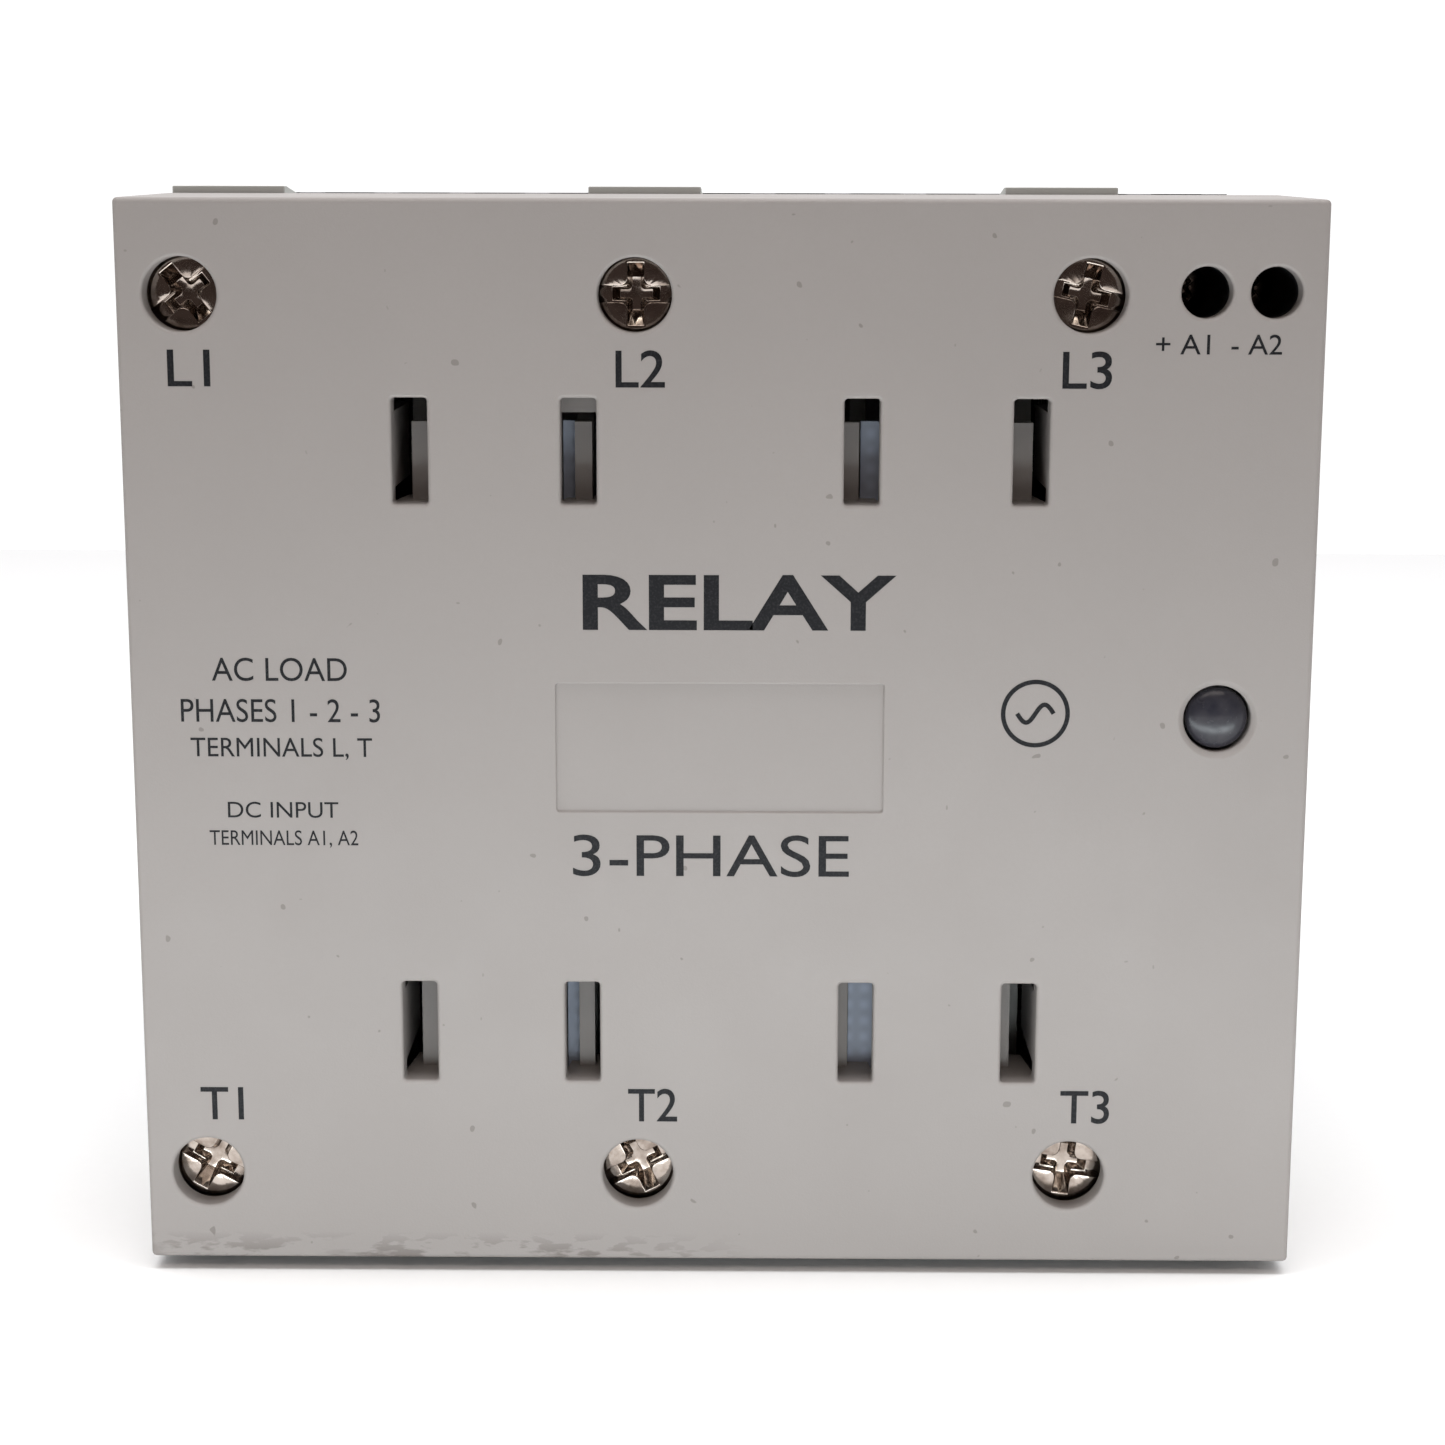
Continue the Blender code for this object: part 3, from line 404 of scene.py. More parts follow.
@dataclass(frozen=True)
class StudioPaper(Finish):
    """Pale seamless paper for the floor and backdrop."""

    colour: Colour = (0.9, 0.9, 0.9)

    def build(self) -> bpy.types.Material:
        """Make the material: matt paper with a faint tooth."""
        recipe = Recipe(self.name)
        tooth = recipe.noise(1.2, 3.0)
        recipe.colour(recipe.blend(tooth, tuple(c * 0.985 for c in self.colour), self.colour))
        recipe.relief([(tooth, 0.02)])
        recipe.set(Roughness=0.9, Specular_IOR_Level=0.2)
        return recipe.material


COVER_GREY = MouldedPlastic(
    "cover_grey", "moulded_grey", (0.308, 0.283, 0.270), 0.025, 0.56, dirt=(0.10, 0.082, 0.072)
)
CASE_GREY = MouldedPlastic("case_grey", "moulded_grey", (0.47, 0.475, 0.455), 0.03, 0.55)
CARRIER_BLACK = MouldedPlastic("carrier_black", "moulded_black", (0.014, 0.014, 0.017), 0.25, 0.46, 0.22, 0.015, 9.0)
FOOT_BLACK = MouldedPlastic("foot_black", "moulded_black", (0.020, 0.020, 0.022), 0.30, 0.50, 0.30, 0.020, 12.0)
MODULE_BLACK = MouldedPlastic("module_black", "moulded_black", (0.017, 0.017, 0.019), 0.2, 0.38, 0.12, 0.008, 15.0)
DRIVER_BLACK = MouldedPlastic("driver_black", "moulded_black", (0.022, 0.022, 0.023), 0.2, 0.42, 0.08, 0.006, 4.0)
SCREW_NICKEL = WorkedMetal(
    "screw_nickel", "nickelled_steel", (0.52, 0.455, 0.405), (0.18, 0.13, 0.10), 0.7, (0.08, 0.20), None, 0.10, 0.002, 1.3
)
CAGE_NICKEL = WorkedMetal(
    "cage_nickel", "nickelled_steel", (0.66, 0.63, 0.58), (0.34, 0.29, 0.23), 0.45, (0.22, 0.40), Axis.UP, 0.10, 0.005, 3.0
)
BUSBAR_TIN = WorkedMetal(
    "busbar_tin", "tinned_copper", (0.72, 0.68, 0.62), (0.52, 0.36, 0.22), 0.35, (0.25, 0.42), Axis.UP, 0.08, 0.004, 4.0
)
MILL_ALUMINIUM = WorkedMetal(
    "mill_aluminium", "extruded_aluminium", (0.70, 0.71, 0.73), (0.50, 0.51, 0.53), 0.4, (0.30, 0.48), Axis.UP, 0.22, 0.010, 7.0
)
ZINC_STEEL = WorkedMetal(
    "zinc_steel", "spring_steel", (0.60, 0.61, 0.63), (0.42, 0.40, 0.36), 0.45, (0.24, 0.42), Axis.ACROSS, 0.10, 0.005, 3.5
)
SPRING_WIRE = WorkedMetal(
    "spring_wire", "spring_steel", (0.50, 0.50, 0.51), (0.26, 0.25, 0.24), 0.4, (0.18, 0.34), None, 0.06, 0.003, 1.5
)
LENS_SMOKED = SmokedPlastic("lens_smoked", "smoked_lens")
DIE_YELLOW = MouldedPlastic("die_yellow", "indicator_die", (0.62, 0.52, 0.20), 0.08, 0.25, 0.1, 0.004, 2.0)
BOARD_GREEN = CircuitBoard("board_green", "board_green")
PAD_GREY = SoftPad("pad_grey", "thermal_pad")
SHIELD_SHEET = SoftPad("shield_sheet", "thermal_pad", (0.58, 0.64, 0.77))
MARKING_INK = PrintedInk("marking_ink", "moulded_black")
FLOOR_PAPER = StudioPaper("floor_paper", "")

_MADE: dict[str, bpy.types.Material] = {}


def material_of(finish: Finish) -> bpy.types.Material:
    """Make a finish's material once and give it from then on."""
    if finish.name not in _MADE:
        _MADE[finish.name] = finish.build()
    return _MADE[finish.name]


# ---------------------------------------------------------------- forms


def about(centre: float, half: float) -> Span:
    """Give the low and high end of a length that is centred on a point."""
    return (centre - half, centre + half)


def spread(span: Span, margin: float) -> Span:
    """Widen a span by a margin at both ends."""
    return (span[0] - margin, span[1] + margin)


def turned_over(span: Span, side: int) -> Span:
    """Turn a span over to the other side of zero where side is -1."""
    low, high = sorted((span[0] * side, span[1] * side))
    return (low, high)


def arc(centre: Span, radius: float, start_deg: float, end_deg: float, steps: int) -> list[Span]:
    """Give the points of an arc, both ends included."""
    points = []
    for step in range(steps + 1):
        angle = math.radians(start_deg + (end_deg - start_deg) * step / steps)
        points.append((centre[0] + radius * math.cos(angle), centre[1] + radius * math.sin(angle)))
    return points


def rounded_rectangle(first: Span, second: Span, radius: float, steps: int = 5) -> list[Span]:
    """Give the outline of a rectangle with round corners."""
    outline = []
    corners = (
        (first[1] - radius, second[1] - radius, 0.0),
        (first[0] + radius, second[1] - radius, 90.0),
        (first[0] + radius, second[0] + radius, 180.0),
        (first[1] - radius, second[0] + radius, 270.0),
    )
    for x, z, start in corners:
        outline += arc((x, z), radius, start, start + 90.0, steps)
    return outline


class Form:
    """A set of closed shapes in millimetres: X, depth behind the face, Z."""

    def __init__(self) -> None:
        """Start with nothing."""
        self.bm = bmesh.new()

    def box(self, x: Span, depth: Span, z: Span) -> "Form":
        """Add a box that fills three spans."""
        return self.drafted(x, z, x, z, depth)

    def drafted(self, front_x: Span, front_z: Span, back_x: Span, back_z: Span, depth: Span) -> "Form":
        """Add a box whose front and back differ in size."""
        rows = []
        for (x, z), d in (((front_x, front_z), depth[0]), ((back_x, back_z), depth[1])):
            corners = ((x[0], z[0]), (x[1], z[0]), (x[1], z[1]), (x[0], z[1]))
            rows.append([self.bm.verts.new((cx, d, cz)) for cx, cz in corners])
        self._skin(rows)
        return self

    def prism(self, outline: Sequence[Span], span: Span, along: Axis, end_scale: float = 1.0) -> "Form":
        """Add an outline drawn along an axis.

        Args:
            outline: its points, as X and depth along UP, depth and Z along ACROSS, or X and Z along DEPTH.
            span: where it starts and ends on the axis.
            along: the axis.
            end_scale: how large its far end is beside its near one.

        Returns:
            The form itself.
        """
        order = {Axis.UP: (0, 1, 2), Axis.ACROSS: (1, 2, 0), Axis.DEPTH: (0, 2, 1)}[along]
        middle = [sum(p[i] for p in outline) / len(outline) for i in (0, 1)]
        rows = []
        for place, scale in ((span[0], 1.0), (span[1], end_scale)):
            row = []
            for first, second in outline:
                point = [0.0, 0.0, 0.0]
                point[order[0]] = middle[0] + (first - middle[0]) * scale
                point[order[1]] = middle[1] + (second - middle[1]) * scale
                point[order[2]] = place
                row.append(self.bm.verts.new(point))
            rows.append(row)
        self._skin(rows)
        return self

    def flared(self, outlines: Sequence[Sequence[Span]], depths: Sequence[float]) -> "Form":
        """Add a shape whose outline changes from depth to depth."""
        rows = [[self.bm.verts.new((x, depth, z)) for x, z in outline] for outline, depth in zip(outlines, depths)]
        self._skin(rows)
        return self

    def turned(self, x: float, z: float, profile: Sequence[Span], sides: int = 64) -> "Form":
        """Turn a profile of depth and radius round an axis that runs front to back."""
        rows = []
        for depth, radius in profile:
            row = []
            for step in range(sides):
                angle = math.tau * (step + 0.5) / sides
                row.append(self.bm.verts.new((x + radius * math.cos(angle), depth, z + radius * math.sin(angle))))
            rows.append(row)
        self._skin(rows)
        return self

    def _skin(self, rows: list[list[bmesh.types.BMVert]]) -> None:
        """Close the rows of points into one solid."""
        for near, far in zip(rows, rows[1:]):
            for step in range(len(near)):
                after = (step + 1) % len(near)
                self.bm.faces.new((near[step], near[after], far[after], far[step]))
        self.bm.faces.new(rows[0])
        self.bm.faces.new(rows[-1])

    def spun(self, x: float, z: float, degrees: float) -> "Form":
        """Turn everything so far about an axis that runs front to back, counter-clockwise from the front."""
        turn = Matrix.Rotation(math.radians(-degrees), 3, "Y")
        bmesh.ops.rotate(self.bm, cent=Vector((x, 0.0, z)), matrix=turn, verts=self.bm.verts)
        return self

    def rounded(self, offset: float, steps: int, chosen: Iterable[bmesh.types.BMEdge] | None = None) -> "Form":
        """Round some edges, or every edge."""
        edges = list(self.bm.edges if chosen is None else chosen)
        bmesh.ops.bevel(self.bm, geom=edges, offset=offset, segments=steps, profile=0.5, affect="EDGES")
        return self

    def to_object(self, name: str) -> bpy.types.Object:
        """Make an object whose mesh is in metres in the frame."""
        bmesh.ops.recalc_face_normals(self.bm, faces=self.bm.faces)
        place = Matrix.Translation((0.0, FACE_Y, 0.0)) @ Matrix.Scale(MM, 4)
        bmesh.ops.transform(self.bm, matrix=place, verts=self.bm.verts)
        mesh = bpy.data.meshes.new(name)
        self.bm.to_mesh(mesh)
        self.bm.free()
        item = bpy.data.objects.new(name, mesh)
        bpy.context.scene.collection.objects.link(item)
        return item


def baked(item: bpy.types.Object, *spent: bpy.types.Object) -> bpy.types.Object:
    """Turn an object and its modifiers into a plain mesh object of the same name.

    Args:
        item: the object.
        spent: helpers to delete with it.

    Returns:
        The new object.
    """
    bpy.context.view_layer.update()
    graph = bpy.context.evaluated_depsgraph_get()
    mesh = bpy.data.meshes.new_from_object(item.evaluated_get(graph), depsgraph=graph)
    name = item.name
    for old in (item, *spent):
        bpy.data.objects.remove(old, do_unlink=True)
    mesh.name = name
    made = bpy.data.objects.new(name, mesh)
    bpy.context.scene.collection.objects.link(made)
    return made


class Carving:
    """A piece that starts as one form and has others joined to it or cut from it."""

    def __init__(self, name: str, start: Form) -> None:
        """Start the piece.

        Args:
            name: the piece's name.
            start: its first form.
        """
        self.item = start.to_object(name)
        self.tools: list[bpy.types.Object] = []

    def work(self, step: Step, form: Form) -> "Carving":
        """Join a form or cut it away."""
        tool = form.to_object(f"{self.item.name}_tool")
        tool.hide_render = True
        modifier = self.item.modifiers.new(step.name, "BOOLEAN")
        modifier.operation = step.value
        modifier.solver = "EXACT"
        modifier.object = tool
        self.tools.append(tool)
        return self

    def done(
        self,
        rim: float = 0.12,
        segments: int = 2,
        sharp_deg: float = 40.0,
        deepest: float | None = None,
        split: bool = False,
    ) -> bpy.types.Object:
        """Break the sharp edges and give the finished piece.

        Args:
            rim: the width of the broken edges, in millimetres.
            segments: how many strips an edge gets.
            sharp_deg: the angle from which an edge is broken.
            deepest: how far behind the face an edge may lie and still be broken, or None for all edges.
            split: whether faces with many corners are split first, which faces with holes in them need.

        Returns:
            The piece, as a plain mesh.
        """
        if split:
            self.item.modifiers.new("split", "TRIANGULATE").min_vertices = 5
        if rim > 0 and deepest is None:
            bevel = self.item.modifiers.new("rim", "BEVEL")
            bevel.width = rim * MM
            bevel.segments = segments
            bevel.limit_method = "ANGLE"
            bevel.angle_limit = math.radians(sharp_deg)
            bevel.use_clamp_overlap = False
        made = baked(self.item, *self.tools)
        if deepest is not None:
            bm = bmesh.new()
            bm.from_mesh(made.data)
            near = FACE_Y + deepest * MM
            sharp = [e for e in bm.edges if e.is_manifold and e.calc_face_angle() > math.radians(sharp_deg)]
            chosen = [e for e in sharp if all(v.co.y < near for v in e.verts)]
            bmesh.ops.bevel(bm, geom=chosen, offset=rim * MM, segments=segments, profile=0.5, affect="EDGES")
            bm.to_mesh(made.data)
            bm.free()
        return smooth(made)


def smooth(item: bpy.types.Object, sharp_deg: float = 38.0) -> bpy.types.Object:
    """Shade a piece smooth, keep its corners crisp and let its large faces stay flat."""
    item.data.shade_smooth()
    item.data.set_sharp_from_angle(angle=math.radians(sharp_deg))
    weigh = item.modifiers.new("flats", "WEIGHTED_NORMAL")
    weigh.keep_sharp = True
    weigh.weight = 80
    return baked(item)


def finish_piece(item: bpy.types.Object, finish: Finish, body: str, *nodes: str) -> bpy.types.Object:
    """Dress a piece, let it ride on a body and let it stand for CAD nodes.

    Args:
        item: the piece.
        finish: its finish.
        body: the body that it moves with.
        nodes: the CAD nodes that it stands for.

    Returns:
        The piece.
    """
    item.data.materials.clear()
    item.data.materials.append(material_of(finish))
    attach(item, body)
    if nodes:
        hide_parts(*nodes)
    LOG.info("%s: %d faces in %s on %s", item.name, len(item.data.polygons), finish.name, body)
    return item


def dress_node(name: str, finish: Finish) -> None:
    """Give a CAD node that stays a better finish."""
    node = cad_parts[name]
    if not node.material_slots:
        node.data.materials.append(material_of(finish))
    for slot in node.material_slots:
        slot.material = material_of(finish)
    LOG.info("%s: kept, in %s", name, finish.name)


def middle_of(node: str) -> Vector:
    """Give the middle of a CAD node in millimetres: X, depth behind the face, Z."""
    low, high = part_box(node)
    middle = (low + high) / 2
    return Vector((middle.x, middle.y - FACE_Y, middle.z)) / MM


def spans_of(node: str) -> tuple[Span, Span, Span]:
    """Give the spans of a CAD node in millimetres: X, depth behind the face, Z."""
    low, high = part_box(node)
    lift = Vector((0.0, FACE_Y, 0.0))
    low, high = (low - lift) / MM, (high - lift) / MM
    return (low.x, high.x), (low.y, high.y), (low.z, high.z)


# ---------------------------------------------------------------- case


@dataclass
class CaseCover:
    """The grey front cover with its terminal holes, vent slots, lens dish and label recess.

    Behind each slot stands a narrow baffle, and behind the inner slots a strip of pale sheet, so that nothing
    straight can be pushed through a slot on to the live parts.
    """

    wall: float = 2.5
    side_wall: float = 1.5
    draft: float = 0.38
    edge: float = 0.45
    load_hole: float = 3.4
    control_hole: float = 2.35
    lens_hole: float = 3.15
    dish: float = 3.75
    slot_x: tuple[float, ...] = (-28.5, -13.0, 13.0, 28.5)
    slot_z: float = 27.65
    slot_size: Span = (3.3, 9.8)
    slot_corner: float = 0.35
    lip: float = 0.22
    label_size: Span = (30.6, 12.3)
    label_depth: float = 0.3
    ledge_back: float = 9.0
    rib_back: float = 13.7
    rib_wall: float = 1.2
    rib_half: float = 3.5
    clip_z: float = 30.0
    clip_window: Span = (20.4, 23.4)
    clip_half: float = 3.0
    baffle: Span = (5.0, 6.2)
    upper_baffles: tuple[Span, ...] = ((-28.85, -26.9), (-13.6, -12.0), (11.5, 12.9), (26.9, 29.1))
    lower_baffles: tuple[Span, ...] = ((-28.85, -26.9), (-13.6, -12.1), (11.5, 12.4), (26.9, 28.1))
    shield: Span = (6.5, 7.1)
    upper_shields: tuple[Span, ...] = ((-14.8, -13.7), (13.1, 14.9))
    lower_shields: tuple[Span, ...] = ((-14.8, -13.7), (12.5, 14.9))
    tops: Span = (30.0, -23.6)

    def build(self) -> bpy.types.Object:
        """Make the cover and dress it."""
        x, depth, z = spans_of("front_cover")
        front_x = spread(x, -self.draft)
        front_z = spread(z, -self.draft)
        shell = Form().drafted(front_x, front_z, x, z, depth)
        rim = [e for e in shell.bm.edges if any(v.co.y < depth[1] / 2 for v in e.verts)]
        shell.rounded(self.edge, 4, rim)
        cover = Carving("case_cover", shell)
        inner_front = [spread(s, -self.side_wall) for s in (front_x, front_z)]
        inner_back = [spread(s, -self.side_wall) for s in (x, z)]
        hollow = Form().drafted(*inner_front, *inner_back, (self.wall, depth[1] + 1.0))
        cover.work(Step.CUT, hollow)
        cover.work(Step.CUT, self.openings(x))
        cover.work(Step.JOIN, self.ledges())
        cover.work(Step.JOIN, self.ribs())
        cover.work(Step.JOIN, self.baffles())
        self.shields()
        return finish_piece(cover.done(0.13, 3, deepest=1.0), COVER_GREY, "case", "front_cover")

    def openings(self, x: Span) -> Form:
        """Give everything that is cut through or into the cover's walls."""
        back = self.wall + 1.0
        form = Form()
        for tag in LOAD_TAGS + CONTROL_TAGS:
            kind, radius = ("load", self.load_hole) if tag in LOAD_TAGS else ("control", self.control_hole)
            middle = middle_of(f"{kind}_screw_{tag}")
            lip = ((-0.5, radius + 0.5 + self.lip), (self.lip, radius), (back, radius))
            form.turned(middle.x, middle.z, lip)
        lens = middle_of("light_pipe")
        dish = ((-0.5, self.dish + 0.5), (0.45, self.lens_hole), (back, self.lens_hole))
        form.turned(lens.x, lens.z, dish)
        label = rounded_rectangle(*(about(0.0, s / 2) for s in self.label_size), 0.3)
        form.prism(label, (-1.0, self.label_depth), Axis.DEPTH)
        for slot_x in self.slot_x:
            for side in (-1, 1):
                outlines = [self.slot_outline(slot_x, side, grow) for grow in (0.5 + self.lip, 0.0, 0.0)]
                form.flared(outlines, (-0.5, self.lip, back))
        for side in (-1, 1):
            wall = turned_over((x[1] - 3.0, x[1] + 1.0), side)
            for z in (-self.clip_z, self.clip_z):
                form.box(wall, self.clip_window, about(z, self.clip_half))
        return form

    def slot_outline(self, x: float, side: int, grow: float) -> list[Span]:
        """Give the outline of one vent slot, grown by a margin all round."""
        across = about(x, self.slot_size[0] / 2 + grow)
        up = about(side * self.slot_z, self.slot_size[1] / 2 + grow)
        return rounded_rectangle(across, up, self.slot_corner + grow)

    def ledges(self) -> Form:
        """Give the sills behind the slots, each a little narrower at its back, and the hood behind the second upper
        slot.
        """
        form = Form()
        for x in self.slot_x:
            for side in (-1, 1):
                sill = side * self.slot_z - self.slot_size[1] / 2
                inward = -0.8 if x > 0 else 0.8
                half = self.slot_size[0] / 2 + 0.3
                outline = (
                    (x - half, self.wall - GAP),
                    (x + half, self.wall - GAP),
                    (x + half + min(0.0, inward), self.ledge_back),
                    (x - half + max(0.0, inward), self.ledge_back),
                )
                form.prism(outline, (sill - self.rib_wall, sill), Axis.UP)
        hood = (
            (self.wall - GAP, 33.1),
            (self.wall - GAP, 34.4),
            (5.5, 34.4),
            (5.5, 30.95),
            (4.0, 30.95),
            (4.0, 33.1),
        )
        form.prism(hood, about(self.slot_x[1], 2.2), Axis.ACROSS)
        return form

    def behind_slots(self, upper: Sequence[Span], lower: Sequence[Span], depth: Span) -> Form:
        """Give strips that stand on the sills of the upper and the lower slots."""
        form = Form()
        for strips, side, top in ((upper, 1, self.tops[0]), (lower, -1, self.tops[1])):
            sill = side * self.slot_z - self.slot_size[1] / 2
            for across in strips:
                form.box(across, depth, (sill - self.rib_wall / 2, top))
        return form

    def baffles(self) -> Form:
        """Give the baffles behind the slots."""
        return self.behind_slots(self.upper_baffles, self.lower_baffles, self.baffle)

    def shields(self) -> bpy.types.Object:
        """Make the strips of pale sheet behind the inner slots."""
        strips = self.behind_slots(self.upper_shields, self.lower_shields, self.shield)
        return finish_piece(strips.to_object("slot_shields"), SHIELD_SHEET, "case")

    def ribs(self) -> Form:
        """Give the guard ribs on the outer side of the outermost slots."""
        form = Form()
        inner = self.slot_x[-1] + self.slot_size[0] / 2
        for x_side in (-1, 1):
            for z_side in (-1, 1):
                across = turned_over((inner, inner + self.rib_wall), x_side)
                form.box(across, (self.wall - GAP, self.rib_back), about(z_side * self.slot_z, self.rib_half))
        return form


@dataclass
class Marking:
    """One printed word: what it says, the middle of it, its height and how wide it runs."""

    words: str
    x: float
    z: float
    height: float
    width: float | None = None
    bold: float = 0.0


@dataclass
class CasePrinting:
    """The generic marks printed on the face: terminal numbers, what the terminals are for and an AC sign."""

    proud: float = 0.015
    marks: tuple[Marking, ...] = (
        Marking("L1", -48.5, 35.3, 3.5, 3.9, 0.006),
        Marking("L2", -7.3, 35.3, 3.5, 4.5, 0.006),
        Marking("L3", 33.4, 35.3, 3.5, 4.5, 0.006),
        Marking("+ A1", 42.0, 37.6, 1.9, 4.9),
        Marking("- A2", 48.7, 37.6, 1.9, 4.6),
        Marking("T1", -47.65, -34.8, 3.4, 4.1, 0.006),
        Marking("T2", -6.35, -34.8, 3.4, 4.7, 0.006),
        Marking("T3", 35.0, -34.8, 3.4, 4.7, 0.006),
        Marking("RELAY", 1.8, 13.9, 5.2, 29.0, 0.02),
        Marking("3-PHASE", -0.8, -10.2, 4.2, 26.0),
        Marking("AC LOAD", -41.0, 7.4, 2.3, 12.6),
        Marking("PHASES 1 - 2 - 3", -41.0, 3.5, 2.3, 18.6),
        Marking("TERMINALS L, T", -41.0, 0.0, 1.9, 17.0),
        Marking("DC INPUT", -41.0, -6.0, 1.6, 10.4),
        Marking("TERMINALS A1, A2", -41.0, -8.7, 1.5, 14.0),
    )
    ring: tuple[float, float, float, float] = (29.4, 3.4, 3.0, 0.42)

    def build(self) -> bpy.types.Object:
        """Print every mark and dress them in ink."""
        parts = [self.word(mark) for mark in self.marks]
        parts += [self.ac_sign()]
        bm = bmesh.new()
        for part in parts:
            bm.from_mesh(part)
        mesh = bpy.data.meshes.new("face_marks")
        bm.to_mesh(mesh)
        bm.free()
        item = bpy.data.objects.new("face_marks", mesh)
        bpy.context.scene.collection.objects.link(item)
        return finish_piece(item, MARKING_INK, "case")

    def word(self, mark: Marking) -> bpy.types.Mesh:
        """Make one word as a thin solid on the face.

        Args:
            mark: the word.

        Returns:
            Its mesh, in place.
        """
        curve = bpy.data.curves.new("word", "FONT")
        curve.body = mark.words
        curve.size = 1.0
        curve.extrude = 0.01
        curve.offset = mark.bold
        curve.resolution_u = 6
        item = bpy.data.objects.new("word", curve)
        bpy.context.scene.collection.objects.link(item)
        bpy.context.view_layer.update()
        graph = bpy.context.evaluated_depsgraph_get()
        mesh = bpy.data.meshes.new_from_object(item.evaluated_get(graph))
        bpy.data.objects.remove(item, do_unlink=True)
        low, high = self.extent(mesh)
        cap = 0.729
        tall = mark.height / cap
        wide = tall if mark.width is None else mark.width / (high.x - low.x)
        self.stand(mesh, Vector(((low.x + high.x) / 2, cap / 2, 0.0)), (wide, tall), mark.x, mark.z)
        return mesh

    @staticmethod
    def extent(mesh: bpy.types.Mesh) -> tuple[Vector, Vector]:
        """Give a mesh's lowest and highest corner."""
        places = [v.co for v in mesh.vertices]
        low = Vector(min(p[i] for p in places) for i in range(3))
        high = Vector(max(p[i] for p in places) for i in range(3))
        return low, high

    def stand(self, mesh: bpy.types.Mesh, pivot: Vector, scale: Span, x: float, z: float) -> None:
        """Move a flat mesh from the XY plane on to the face, so that it stands a hair proud."""
        upright = Matrix.Rotation(math.pi / 2, 4, "X")
        size = Matrix.Diagonal((scale[0], scale[1], self.proud / 0.01, 1.0))
        centre = Matrix.Translation(-pivot)
        place = Matrix.Translation((x * MM, FACE_Y, z * MM)) @ Matrix.Scale(MM, 4)
        mesh.transform(place @ upright @ size @ centre)

    def ac_sign(self) -> bpy.types.Mesh:
        """Make a ring with a sine wave in it."""
        x, z, radius, line = self.ring
        bm = bmesh.new()
        self.stroke(bm, [(radius * math.cos(a), radius * math.sin(a)) for a in self.turns(72)], line, True)
        wave = [(1.7 * t, 0.85 * math.sin(math.pi * t)) for t in (i / 14 - 1 for i in range(29))]
        self.stroke(bm, wave, line, False)
        bmesh.ops.recalc_face_normals(bm, faces=bm.faces)
        mesh = bpy.data.meshes.new("ac_sign")
        bm.to_mesh(mesh)
        bm.free()
        self.stand(mesh, Vector((0.0, 0.0, 0.0)), (1.0, 1.0), x, z)
        return mesh

    @staticmethod
    def turns(steps: int) -> list[float]:
        """Give the angles of a full circle."""
        return [math.tau * i / steps for i in range(steps)]

    @staticmethod
    def stroke(bm: bmesh.types.BMesh, line: list[Span], width: float, closed: bool) -> None:
        """Draw a flat line of even width and a little thickness through points."""
        count = len(line)
        rows = []
        for i, point in enumerate(line):
            before = line[i - 1] if closed or i else point
            after = line[(i + 1) % count] if closed or i < count - 1 else point
            along = (Vector(after) - Vector(before)).normalized()
            side = Vector((-along.y, along.x)) * width / 2
            middle = Vector(point)
            corners = ((middle - side, -0.01), (middle + side, -0.01), (middle + side, 0.01), (middle - side, 0.01))
            rows.append([bm.verts.new((p.x, p.y, height)) for p, height in corners])
        pairs = list(zip(rows, rows[1:])) + ([(rows[-1], rows[0])] if closed else [])
        for near, far in pairs:
            for step in range(4):
                after = (step + 1) % 4
                bm.faces.new((near[step], near[after], far[after], far[step]))
        if not closed:
            bm.faces.new(rows[0])
            bm.faces.new(rows[-1])


